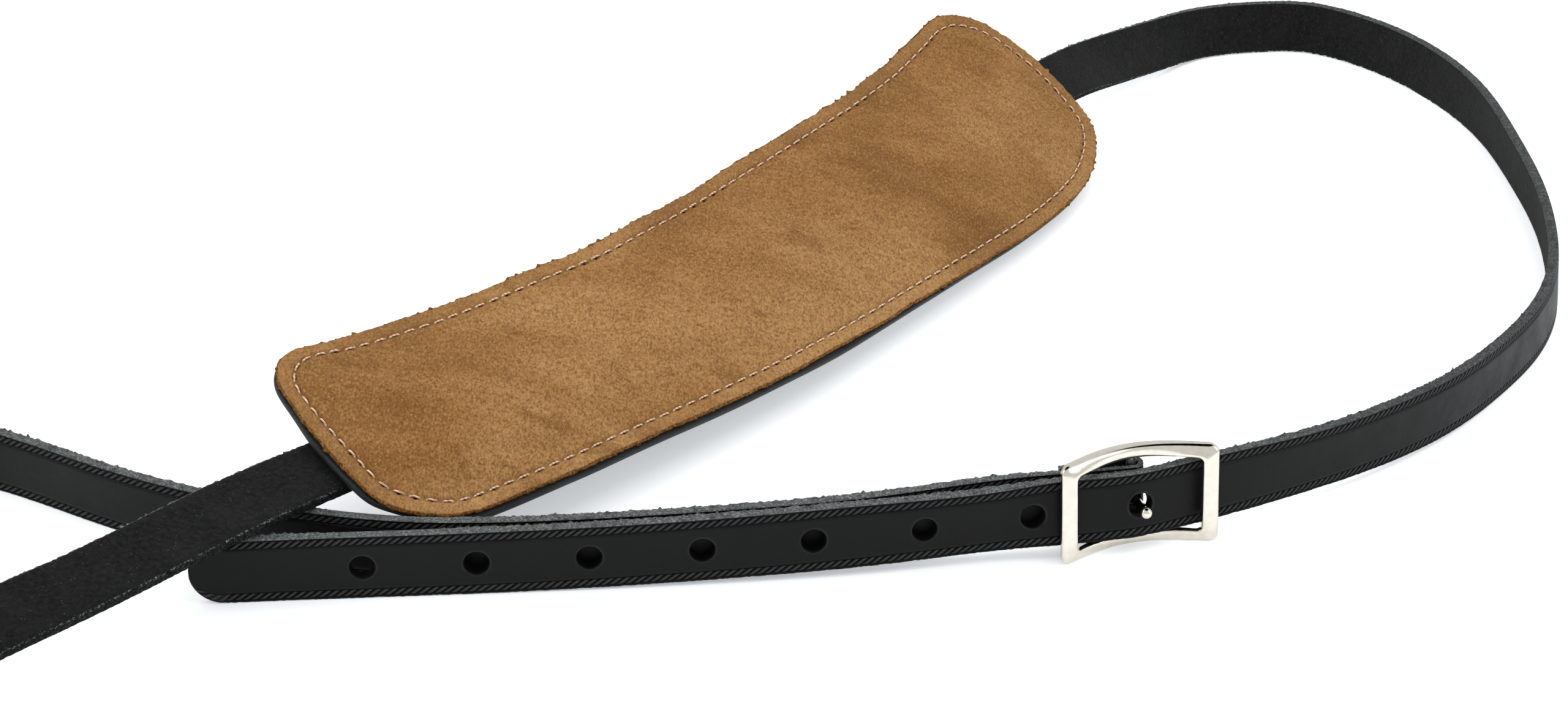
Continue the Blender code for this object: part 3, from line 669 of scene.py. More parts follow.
def nickel_plate():
    """Warm polished nickel with faint casting waves and hairline scratches."""
    m = Material("nickel_plate", Metallic=1.0)
    metres = m.coords()
    waves = m.noise(metres, 220.0)
    hair = m.noise(m.coords((1.0, 1.0, 9.0)), 900.0, 4.0, 0.7)
    tarnish = m.noise(metres, 520.0, 3.0, 0.6)
    colour = m.ramp(tarnish, (0.35, (0.64, 0.595, 0.515)), (0.6, (0.69, 0.645, 0.565)))
    rough = m.span(hair, 0.35, 0.75, 0.07, 0.19)
    fine = m.bump(hair, 0.00003, 0.3)
    return m.finish(colour, rough, m.bump(waves, 0.0003, 0.05, fine))


def spring_steel():
    """Greyer drawn wire."""
    m = Material("spring_steel", Metallic=1.0)
    metres = m.coords()
    drawn = m.noise(metres, 1800.0, 3.0, 0.6)
    colour = m.ramp(drawn, (0.3, (0.36, 0.36, 0.37)), (0.7, (0.6, 0.6, 0.61)))
    return m.finish(colour, m.span(drawn, 0.3, 0.7, 0.22, 0.4), m.bump(drawn, 0.00004, 0.4))


def table_top():
    """Plain white studio sweep with a barely visible tooth, made to glow faintly bluish white: painted
    light that lightens the shadows on it and lights the pieces from below.
    """
    # painted light: the table's own faint bluish glow, which lifts the shadows cast on it
    m = Material("glowing_white_table", Specular_IOR_Level=0.15, Emission_Color=(0.93, 0.97, 1.0, 1.0),
                 Emission_Strength=0.34)
    tooth = m.noise(m.coords(), 30.0, 3.0)
    colour = m.ramp(tooth, (0.3, (0.90, 0.905, 0.91)), (0.7, (0.92, 0.923, 0.926)))
    return m.finish(colour, m.span(tooth, 0.0, 1.0, 0.55, 0.65))


# ---- the strap
def strap_stations():
    """Grain point, width direction, flesh normal, half width, thickness and distance."""
    length = arc_lengths(smooth_curve(ROUTE, step=1.0))[-1]
    tip = TIP_LENGTH * (1 - np.cos(np.linspace(0.12, math.pi / 2, 20)))
    at = np.concatenate((tip, np.arange(TIP_LENGTH + STATION_STEP, length, STATION_STEP)))
    rows = smooth_curve(ROUTE, distances=at)
    width, flesh = ribbon_frames(rows)
    grain = rows[:, :3] - flesh * STRAP_THICK / 2
    half = np.full(len(at), STRAP_WIDTH / 2)
    inside = np.clip(at / TIP_LENGTH, 0, 1)
    half *= np.sqrt(1 - (1 - inside) ** 2)
    skive = np.clip((SKIVE_START - (length - at)) / SKIVE_LENGTH, 0, 1)
    thick = STRAP_THICK + (SKIVED_THICK - STRAP_THICK) * skive

    radius = BAR_DIAMETER / 2 + FOLD_GAP + SKIVED_THICK
    angles = np.linspace(0, math.pi, 22)[1:]
    along = BAR_X + radius * np.sin(angles)
    depth = BAR_Y - radius * np.cos(angles)
    back = np.arange(BAR_X - FOLD_STEP, FOLD_END, -FOLD_STEP)
    along = np.concatenate((along, back))
    depth = np.concatenate((depth, np.full(len(back), BAR_Y + radius)))
    fold = np.array([at_buckle(a, d)[:3] for a, d in zip(along, depth)])
    inward = np.array([at_buckle(BAR_X, BAR_Y)[:3]]) - fold
    inward[len(angles):] = -DEPTH_AXIS
    run = at[-1] + arc_lengths(np.concatenate((grain[-1:], fold)))[1:]
    return (np.concatenate((grain, fold)),
            np.concatenate((width, np.tile(LEAN_AXIS, (len(fold), 1)))),
            np.concatenate((flesh, unit(inward))),
            np.concatenate((half, np.full(len(fold), STRAP_WIDTH / 2))),
            np.concatenate((thick, np.full(len(fold), SKIVED_THICK))), np.concatenate((at, run)))


def rope_relief(distance, across):
    """Depth pressed into the grain at a distance along the strap and a place across it."""
    place = abs(across)
    phase = (distance[:, None] - ROPE_SLANT * across[None, :]) / ROPE_PITCH
    strand = np.abs(np.sin(math.pi * phase)) ** 0.7
    middle = (ROPE_OUTER + ROPE_INNER) / 2
    crown = np.sqrt(np.clip(1 - ((place - middle) / (ROPE_OUTER - middle)) ** 2, 0, 1))
    in_band = (place < ROPE_OUTER) & (place > ROPE_INNER)
    rope = np.where(in_band[None, :], ROPE_DEPTH * (1 - strand * crown[None, :]), 0.0)
    line = np.exp(-((place - ROPE_OUTER) / 0.12) ** 2) + np.exp(-((place - ROPE_INNER) / 0.12) ** 2)
    fade = ease((distance - 7.5) / 1.5)[:, None]
    return np.maximum(rope, ROPE_DEPTH * line[None, :]) * fade


def make_strap(materials):
    """The whole strap as one lofted ribbon: embossed grain, torn edges and rough flesh side."""
    grain, width, flesh, half, thick, run = strap_stations()
    count = len(run)
    side = np.array((0.0, 1.8, 3.4, 4.7, 5.35, 5.55, 5.65, 5.8, 6.1, 6.5, 6.9, 7.2, 7.35, 7.5, 7.72))
    face = np.concatenate((-side[:0:-1], side))
    relief = rope_relief(run, face)
    rng = np.random.default_rng(11)
    scale = (half / (STRAP_WIDTH / 2))[:, None]

    across = [face[None, :] * scale]
    level = [relief + 0.12 * (np.abs(face) > FLAT_REACH)[None, :]]
    edge_steps = (0.10, 0.3, 0.5, 0.7, 0.9)
    under_pad = np.hypot(grain[:, 0] - UNDER_PAD[0], grain[:, 1] - UNDER_PAD[1]) < 15.0
    for sign in (1, -1):
        torn = np.stack([fuzz(count, 20 + k + 10 * sign) for k in range(len(edge_steps))], axis=1)
        torn = np.where(under_pad[:, None], -0.1, torn) if sign > 0 else np.minimum(torn, 0.12)
        lift = np.array((-0.02, 0.03, 0.05, 0.03, -0.03))
        edge_across = sign * (half[:, None] + lift + torn * np.array((0.5, 0.8, 1.0, 1.0, 1.3)))
        edge_level = thick[:, None] * np.array(edge_steps)
        if sign < 0:
            edge_across, edge_level = edge_across[:, ::-1], edge_level[:, ::-1]
        across.append(edge_across)
        level.append(edge_level)
        if sign > 0:
            back = np.linspace(FLAT_REACH, -FLAT_REACH, BACK_COLUMNS)
            across.append(back[None, :] * scale)
            rough = 0.05 * rng.standard_normal((count, len(back)))
            level.append(thick[:, None] - np.abs(rough))
    across = np.concatenate(across, axis=1)
    level = np.concatenate(level, axis=1)
    columns = across.shape[1]

    points = (grain[:, None, :] + width[:, None, :] * across[:, :, None]
              + flesh[:, None, :] * level[:, :, None])
    verts = to_world(points.reshape(-1, 3))
    faces = grid_faces(count, columns)
    column = np.tile(np.arange(columns), count - 1)
    flesh_start = len(face) + len(edge_steps)
    flesh_end = flesh_start + BACK_COLUMNS - 1
    kinds = np.full(columns, EDGE)
    kinds[:len(face) - 1] = GRAIN
    kinds[flesh_start:flesh_end] = FLESH
    kinds[flesh_end] = LINT
    # painted shade: the strap's lower cut edge takes the darkened copy of the edge material
    kinds[flesh_end + 1:] = SHADED_LOW_EDGE
    girth = np.concatenate(([0.0], np.cumsum(np.hypot(np.diff(across[count // 2]),
                                                      np.diff(level[count // 2])))))
    girth = np.concatenate((face, face[-1] + girth[len(face):] - girth[len(face) - 1]))
    following = np.append(girth[1:], girth[-1] + 0.4)
    start = np.repeat(run[:-1], columns)
    end = np.repeat(run[1:], columns)
    v0, v1 = girth[column], following[column]
    uvs = np.stack((np.stack((start, v0), -1), np.stack((start, v1), -1),
                    np.stack((end, v1), -1), np.stack((end, v0), -1)), axis=1) * 0.001
    caps = [list(range(columns))[::-1], list(range((count - 1) * columns, count * columns))]
    all_uvs = np.concatenate((uvs.reshape(-1, 2), np.zeros((2 * columns, 2))))
    obj = mesh_object("leather_strap", verts, faces.tolist() + caps, materials,
                      np.concatenate((kinds[column], (EDGE, EDGE))), all_uvs)
    flip_if_inside_out(obj)
    return obj


def flip_if_inside_out(obj):
    """Turn all faces round if the closed mesh has a negative volume."""
    bm = bmesh.new()
    bm.from_mesh(obj.data)
    if bm.calc_volume(signed=True) < 0:
        bmesh.ops.reverse_faces(bm, faces=bm.faces)
        bm.to_mesh(obj.data)
    bm.free()


def hole_runs():
    """Distances along the strap of the adjuster holes, the stud's first."""
    curve = smooth_curve(ROUTE, step=0.2)
    stud = np.array(at_buckle(BAR_X, STRAP_AT_BAR)[:3])
    stud_run = arc_lengths(curve)[np.argmin(np.linalg.norm(curve[:, :3] - stud, axis=1))]
    return [stud_run - k * HOLE_PITCH for k in range(HOLE_COUNT)]


def punch_strap(strap):
    """The adjuster holes, the stud's slot in the fold and the rivet's hole."""
    curve = smooth_curve(ROUTE, step=0.2)
    run = arc_lengths(curve)
    _, flesh = ribbon_frames(curve)
    r = HOLE_DIAMETER / 2
    bm = bmesh.new()
    for hole_run in hole_runs():
        i = int(np.argmin(abs(run - hole_run)))
        profile = [(-2.4, r + 0.35), (-1.45, r + 0.32), (-1.2, r + 0.06), (-0.9, r),
                   (1.1, r - 0.12), (1.45, r - 0.08)]
        join(bm, turned(profile, 36, curve[i, :3], flesh[i]))
    cut(strap, bm)
    bm = turned([(4.25, 1.6), (6.0, 1.6)], 24, at_buckle(BAR_X, 0.0)[:3], DEPTH_AXIS)
    join(bm, turned([(5.2, 1.8), (12.5, 1.8)], 24, at_buckle(RIVET_X, 0.0)[:3], DEPTH_AXIS))
    cut(strap, bm)


def join(target, part):
    """Add the faces of one bmesh to another."""
    mesh = bpy.data.meshes.new("part")
    bmesh.ops.recalc_face_normals(part, faces=part.faces)
    part.to_mesh(mesh)
    part.free()
    target.from_mesh(mesh)
    bpy.data.meshes.remove(mesh)


# ---- the buckle
def rounded_rectangle(length, height, radius, per_corner, per_side):
    """Outline points, starting at the lower right corner and going anticlockwise."""
    points = []
    corners = ((length - radius, radius, -90), (length - radius, height - radius, 0),
               (radius, height - radius, 90), (radius, radius, 180))
    for x, z, start in corners:
        for i in range(per_corner + 1):
            a = math.radians(start + 90 * i / per_corner)
            points.append((x + radius * math.cos(a), z + radius * math.sin(a)))
    result = []
    for i, first in enumerate(points):
        second = points[(i + 1) % len(points)]
        parts = per_side if i % (per_corner + 1) == per_corner else 1
        for k in range(parts):
            f = k / parts
            result.append((first[0] + (second[0] - first[0]) * f, first[1] + (second[1] - first[1]) * f))
    return result


def make_buckle(nickel):
    """Cast frame with soft edges; its rails bow away so the centre bar sits further back."""
    outer = rounded_rectangle(BUCKLE_LENGTH, BUCKLE_HEIGHT, OUTER_CORNER, 12, 40)
    inner = rounded_rectangle(BUCKLE_LENGTH - 2 * END_BAR, BUCKLE_HEIGHT - 2 * RAIL,
                              INNER_CORNER, 12, 40)
    section = []
    for i in range(24):
        a = 2 * math.pi * i / 24
        c, s = math.cos(a), math.sin(a)
        section.append((0.5 - 0.5 * math.copysign(abs(c) ** 0.6, c),
                        0.5 - 0.5 * math.copysign(abs(s) ** 0.6, s)))
    rings = []
    for (ox, oz), (ix, iz) in zip(outer, inner):
        ix += END_BAR
        iz += RAIL
        middle = (ox + ix) / 2
        bow = math.sin(math.pi * min(1.0, max(0.0, (middle - 2.0) / (BUCKLE_LENGTH - 4.0))))
        front = RAIL_BOW * bow
        back = END_THICK + (RAIL_BOW + RAIL_THICK - END_THICK) * bow
        rings.append([at_buckle(ox + (ix - ox) * f, front + (back - front) * g, oz + (iz - oz) * f)[:3]
                      for f, g in section])
    frame = from_bmesh("buckle_frame_cast", loft(rings, closed=True), nickel, sharp=60)
    bar = turned([(RAIL - 1.0, BAR_DIAMETER / 2), (BUCKLE_HEIGHT - RAIL + 1.0, BAR_DIAMETER / 2)],
                 36, at_buckle(BAR_X, BAR_Y, 0.0)[:3], LEAN_AXIS)
    cut(frame, bar, operation="UNION")
    frame.data.set_sharp_from_angle(angle=math.radians(60))

    head = [(-3.35 + 2.7 * (1 - math.cos(a)) / 2, 1.4 * math.sin(a))
            for a in np.linspace(0.12, 2.1, 14)]
    profile = head + [(-0.9, 1.05), (5.9, 1.05)]
    stud = from_bmesh("buckle_stud_round", turned(profile, 36, at_buckle(BAR_X, 0.0)[:3], DEPTH_AXIS),
                      nickel, sharp=50)
    return frame, stud


def make_rivet(nickel):
    """The rivet's shank through the fold, with its domed cap."""
    profile = rounded_profile([(5.8, 0.4), (5.8, 1.4), (10.95, 1.4), (10.95, 3.4), (11.45, 3.3),
                               (11.95, 2.2), (12.05, 0.3)], 0.2)
    cap = turned(profile, 32, at_buckle(RIVET_X, 0.0)[:3], DEPTH_AXIS)
    return from_bmesh("fold_rivet_cap", cap, nickel)


# ---- the pad
def spine_point(s):
    """The strap's middle under the pad, from 0 at the pad's left end to 1 at its right end."""
    a, m, b = PAD_SPINE
    s = np.asarray(s)[..., None]
    return a * (1 - s) * (1 - 2 * s) + m * 4 * s * (1 - s) + b * s * (2 * s - 1)


SPINE_LENGTH = arc_lengths(spine_point(np.linspace(0, 1, 201)))[-1]


def pad_points(along, across, out):
    """Layout points from arrays of pad coordinates; out is from the strap's middle layer."""
    along, across, out = np.broadcast_arrays(along, across, out)
    out = out - PAD_CORNER_DROOP * ease((46.0 - along) / 36.0) * ease((-across - 10.0) / 19.0)
    s = along / SPINE_LENGTH
    ahead = spine_point(s + 0.001) - spine_point(s - 0.001)
    ahead[..., 2] = 0.0
    near = np.cross(unit(ahead), UP)
    roll = np.radians(PAD_ROLL[0] + PAD_ROLL[1] * s * s)[..., None]
    upper = -np.cos(roll) * near + np.sin(roll) * UP
    normal = np.sin(roll) * near + np.cos(roll) * UP
    return spine_point(s) + upper * across[..., None] + normal * out[..., None]


def pad_centres(outline):
    """For each outline point, where the pad's middle line is nearest."""
    along = np.clip(outline[:, 0], 34.0, 268.0)
    across = -6.0 + 5.0 * ((along - 150.0) / 150.0) ** 2
    return np.stack((along, across), axis=1)


def inset(outline, distance):
    """Outline points moved inward by a distance, one number or one for each point."""
    inward = pad_centres(outline) - outline
    gap = np.linalg.norm(inward, axis=1)
    return outline + inward * (distance / gap)[:, None]


def rim_distance(points, outline):
    """Shortest distance from each point to the outline, both in pad coordinates."""
    flat = points.reshape(-1, 2)
    nearest = np.empty(len(flat))
    for start in range(0, len(flat), 4000):
        gaps = flat[start:start + 4000, None] - outline[None, ::4]
        nearest[start:start + 4000] = np.linalg.norm(gaps, axis=2).min(axis=1)
    return nearest.reshape(points.shape[:-1])


def crown(distance):
    """How far the stuffed middle stands above the flat rim."""
    return PAD_CROWN * ease((distance - STITCH_INSET + 1.0) / 26.0) ** 0.8


def ring_sides(ring, columns, rows):
    """The low, right, high and left side of a closed ring of 2 * (columns + rows) entries."""
    return (ring[:columns + 1], ring[columns:columns + rows + 1],
            ring[columns + rows:2 * columns + rows + 1][::-1],
            np.concatenate((ring[2 * columns + rows:], ring[:1]))[::-1])


def patch(ring, columns, rows):
    """Grid of points inside a closed ring, by Coons blending."""
    low, right, high, left = ring_sides(ring, columns, rows)
    u = np.linspace(0, 1, columns + 1)[None, :, None]
    v = np.linspace(0, 1, rows + 1)[:, None, None]
    ruled = (1 - v) * low[None] + v * high[None] + (1 - u) * left[:, None] + u * right[:, None]
    corners = ((1 - u) * (1 - v) * ring[0] + u * (1 - v) * ring[columns]
               + u * v * ring[columns + rows] + (1 - u) * v * ring[2 * columns + rows])
    return ruled - corners


def patch_faces(first, ring_start, columns, rows):
    """Quads of a patch whose border is a ring already in the mesh and whose inside follows first."""
    index = np.empty((rows + 1, columns + 1), dtype=int)
    ring = np.arange(2 * (columns + rows)) + ring_start
    index[0], index[:, columns], index[rows], index[:, 0] = ring_sides(ring, columns, rows)
    index[1:-1, 1:-1] = first + np.arange((rows - 1) * (columns - 1)).reshape(rows - 1, columns - 1)
    return np.stack((index[:-1, :-1], index[:-1, 1:], index[1:, 1:], index[1:, :-1]), -1).reshape(-1, 4)


def swell(ring):
    """Height of the stuffed face over a coarse patch, from a pressure cloth sewn down at its rim."""
    columns, rows = PAD_COLUMNS // CLOTH_STEP, PAD_ROWS // CLOTH_STEP
    border = ring[::CLOTH_STEP]
    flat = patch(border, columns, rows)
    count = len(border)
    inner = flat[1:-1, 1:-1].reshape(-1, 2)
    plan = np.concatenate((border, inner, inner))
    height = np.concatenate((np.zeros(count), np.full(len(inner), 1.0), np.full(len(inner), -0.2)))
    top = patch_faces(count, 0, columns, rows)
    bottom = patch_faces(count + len(inner), 0, columns, rows)[:, ::-1]
    verts = np.column_stack((plan, height)) * 0.001
    obj = mesh_object("cloth", verts, np.concatenate((top, bottom)).tolist(), ())
    flip_if_inside_out(obj)
    held = list(range(count)) + list(range(count + len(inner), len(verts)))
    obj.vertex_groups.new(name="sewn").add(held, 1.0, "REPLACE")
    cloth = obj.modifiers.new("cloth", "CLOTH")
    cloth.settings.quality = 6
    cloth.settings.mass = 0.15
    cloth.settings.shrink_min = -0.012
    cloth.settings.vertex_group_mass = "sewn"
    cloth.settings.use_pressure = True
    cloth.settings.uniform_pressure_force = CLOTH_PRESSURE
    cloth.settings.effector_weights.gravity = 0.0
    for number in range(1, CLOTH_FRAMES + 1):
        bpy.context.scene.frame_set(number)
    mesh = obj.evaluated_get(bpy.context.evaluated_depsgraph_get()).to_mesh()
    level = np.array([v.co.z for v in mesh.vertices]) * 1000
    bpy.context.scene.frame_set(1)
    discard(obj)
    lifted = np.zeros((rows + 1, columns + 1))
    lifted[1:-1, 1:-1] = level[count:count + len(inner)].reshape(rows - 1, columns - 1)
    return np.clip(lifted, 0, None)


def finer(grid):
    """A coarse patch of heights read off smoothly at every fine row and column."""
    for steps in (PAD_ROWS, PAD_COLUMNS):
        knots = np.linspace(0, steps, len(grid))
        grid = spline_rows(grid, knots, np.arange(steps + 1.0)).T
    return grid


def pad_face_heights(ring, flat, outline):
    """How far each point of the fine patch stands up: the sewn cloth's shape on the crown."""
    base = crown(rim_distance(flat, outline))
    puffed = finer(swell(ring))
    puffed *= PAD_CROWN / max(puffed.max(), 0.1)
    return 0.45 * base + 0.55 * puffed


def make_pad(suede, rim, leather):
    """The pad's suede face with its torn rim and pressed seam, and its black back."""
    count = 2 * (PAD_COLUMNS + PAD_ROWS)
    even = np.roll(closed_curve(PAD_OUTLINE, count), -first_corner(count), axis=0)
    wander = 0.18 * smooth_noise(count, 12, 3, closed=True)
    outline = inset(even, wander)
    seam_run = np.arange(count) / count * stitch_count()
    needle = np.exp(-((seam_run % 1.0 - 0.5) / 0.13) ** 2)

    rows = []
    frayed = (0.45, 0.0, -0.12, 0.05, 0.32)
    bottom, rim_top = PAD_SUEDE
    levels = (bottom, bottom + 0.3, bottom + 0.7, rim_top - 0.2, rim_top - 0.02)
    for k, (distance, out) in enumerate(zip(frayed, levels)):
        tufts = fuzz(count, 40 + k, 0.11, 0.34, 0.9, closed=True)
        rows.append((distance - tufts, out + 0.3 * tufts))
    for distance in (0.7, 1.3, 2.0, 2.7, 3.2, 3.55, 3.8, 4.0, 4.15, 4.3, 4.45, 4.6, 4.85, 5.2, 5.7,
                     PATCH_INSET):
        groove = 0.34 * math.exp(-((distance - STITCH_INSET) / 0.75) ** 2)
        hole = 0.55 * needle * math.exp(-((distance - STITCH_INSET) / 0.4) ** 2)
        ring = inset(outline, np.full(count, distance))
        rows.append((distance, rim_top + crown(rim_distance(ring, outline)) - groove - hole))
    last = inset(outline, np.full(count, PATCH_INSET))
    flat = patch(last, PAD_COLUMNS, PAD_ROWS)
    lift = pad_face_heights(last, flat, outline)
    blend = ease(rim_distance(flat, last) / 6.0)
    base = crown(rim_distance(flat, outline))
    nap = 0.03 * np.random.default_rng(5).standard_normal(base.shape)
    top = rim_top + base + (lift - base) * blend + nap * blend
    under = bottom + HOLLOW * base
    face = shell("suede_face", outline, rows, flat, (top, under), (suede, rim), 4)

    back_outline = inset(even, -back_margin(even) + 0.05 * smooth_noise(count, 20, 8, closed=True))
    low, high = PAD_BACK
    rows = [(PATCH_INSET, low), (5.2, low), (STITCH_INSET, low + 0.3), (3.4, low), (1.0, low),
            (0.35, low + 0.06), (0.08, low + 0.3), (0.0, low + 0.7), (0.02, high - 0.4),
            (0.15, high - 0.1), (0.6, high), (PATCH_INSET, high)]
    flat = patch(inset(back_outline, np.full(count, PATCH_INSET)), PAD_COLUMNS, PAD_ROWS)
    heights = (np.full(flat.shape[:2], high), np.full(flat.shape[:2], low))
    back = shell("pad_back_leather", back_outline, rows, flat, heights, (leather,), 0, closed_below=True)
    return face, back


def first_corner(count):
    """Index along the even outline of the far left corner, from which the far edge runs."""
    even = closed_curve(PAD_OUTLINE, count)
    return int(np.argmin(np.linalg.norm(even - np.array((13.0, 29.5)), axis=1)))


def back_margin(outline):
    """How far the black back shows past the suede: along the left end and the near side, but not
    over the strand that passes under the near left corner.
    """
    left = ease((40.0 - outline[:, 0]) / 30.0) * ease((16.0 - outline[:, 1]) / 14.0)
    near = ease((-18.0 - outline[:, 1]) / 10.0) * ease((230.0 - outline[:, 0]) / 120.0)
    over_strand = np.exp(-((outline[:, 0] - 5.0) / 8.0) ** 2 - ((outline[:, 1] + 22.0) / 7.0) ** 2)
    return 0.15 + 0.85 * np.maximum(left, near) - 1.5 * over_strand


def shell(name, outline, rows, flat, heights, mats, side_rows, closed_below=False):
    """A closed sheet: rings of (inset, height) round the rim, then a fine patch above and below."""
    count = len(outline)
    if not closed_below:
        rows = [(PATCH_INSET, rows[0][1] + HOLLOW * crown(PATCH_INSET)), (3.0, rows[0][1])] + rows
    points = []
    for distance, out in rows:
        ring = inset(outline, np.broadcast_to(distance, count))
        points.append(pad_points(ring[:, 0], ring[:, 1], np.broadcast_to(out, count)))
    faces = [grid_faces(len(rows), count)]
    start = len(rows) * count
    for sheet, ring_start in zip(heights, ((len(rows) - 1) * count, 0)):
        inner = flat[1:-1, 1:-1]
        points.append(pad_points(inner[..., 0], inner[..., 1], sheet[1:-1, 1:-1]).reshape(-1, 3))
        quads = patch_faces(start, ring_start, PAD_COLUMNS, PAD_ROWS)
        faces.append(quads if ring_start else quads[:, ::-1])
        start += len(points[-1])
    kinds = [np.zeros(len(part), dtype=int) for part in faces]
    kinds[0][2 * count:(2 + side_rows) * count] = 1 if side_rows else 0
    run = np.arange(count + 1) / count * stitch_count()
    depth = np.array([np.mean(distance) for distance, _ in rows])
    if side_rows:
        depth[2:3 + side_rows] = np.linspace(-0.7, depth[3 + side_rows], side_rows + 1)
    column, row = np.tile(np.arange(count), len(rows) - 1), np.repeat(np.arange(len(rows) - 1), count)
    uvs = np.full((sum(map(len, faces)), 4, 2), 9.0)
    uvs[:len(column), :, 0] = np.stack((run[column], run[column + 1], run[column + 1], run[column]), 1)
    uvs[:len(column), :, 1] = np.stack((depth[row], depth[row], depth[row + 1], depth[row + 1]), 1)
    obj = mesh_object(name, to_world(np.concatenate(points)), np.concatenate(faces).tolist(), mats,
                      np.concatenate(kinds), uvs)
    flip_if_inside_out(obj)
    return obj


def seam_line():
    """The seam's closed line in pad coordinates."""
    return inset(closed_curve(PAD_OUTLINE, SEAM_SAMPLES), np.full(SEAM_SAMPLES, STITCH_INSET))


def stitch_count():
    """Whole number of stitches in the seam."""
    ring = seam_line()
    length = arc_lengths(np.concatenate((ring, ring[:1])), 2)[-1]
    return round(length / STITCH_PITCH)


def make_stitches(name, height, inward, mat):
    """One bowed capsule for each stitch, its ends dipping into the needle holes."""
    total = stitch_count()
    ring = seam_line()
    bm = bmesh.new()
    rng = np.random.default_rng(17)
    samples = len(ring)
    for k in range(total):
        centre = (k + 1.0 + 0.03 * rng.standard_normal()) * samples / total
        span = STITCH_LENGTH / STITCH_PITCH * samples / total
        offsets = np.linspace(-0.5, 0.5, 9)
        index = ((centre + offsets * span) % samples).astype(int)
        spread = 0.05 * rng.standard_normal()
        flat = ring[index] + np.array((0.0, spread))
        bow = 1 - (2 * offsets) ** 4
        out = height + inward * (0.6 * (1 - bow) - 0.12 * bow)
        points = pad_points(flat[:, 0], flat[:, 1], out)
        radius = STITCH_RADIUS * np.sqrt(np.clip(1 - (2 * offsets) ** 6, 0.12, 1))
        join(bm, tube(points, radius, 8))
    return from_bmesh(name, bm, mat, sharp=70)


def keeper(middle):
    """A leather bridge under the pad's back, with rounded edges."""
    half = [(10.6, -3.6), (10.6, 1.3), (16.2, 1.3), (16.2, 2.8), (8.9, 2.8), (8.9, -2.1)]
    outline = half + [(-a, n) for a, n in reversed(half)]
    profile = []
    count = len(outline)
    for i in range(count):
        a, b, c = (Vector(outline[(i + k) % count]) for k in (-1, 0, 1))
        for f in (0.0, 0.5, 1.0):
            start = b + (a - b).normalized() * 0.45
            end = b + (c - b).normalized() * 0.45
            profile.append(start * (1 - f) ** 2 + b * 2 * f * (1 - f) + end * f * f)
    ends = (-9.0, -8.85, -8.5)
    places = list(ends) + list(np.linspace(-6, 6, 9)) + [-e for e in reversed(ends)]
    shrink = [0.3, 0.1, 0.0] + [0.0] * 9 + [0.0, 0.1, 0.3]
    centre = Vector((0.0, 0.6))
    rings = []
    for place, less in zip(places, shrink):
        ring = [p + (centre - p).normalized() * less for p in profile]
        rings.append([pad_points(middle + place, p.x, p.y) for p in ring])
    return loft(rings)


# ---- the snap hook
def hook_frame():
    """From hook millimetres, +X along the hook, to metres in the part's frame."""
    place = Matrix.Translation(Vector(to_world(EYE_CENTRE)))
    turn = Matrix.Rotation(math.pi, 4, "Z") @ Matrix.Rotation(HOOK_DROOP, 4, "Y")
    return place @ turn @ Matrix.Scale(0.001, 4)


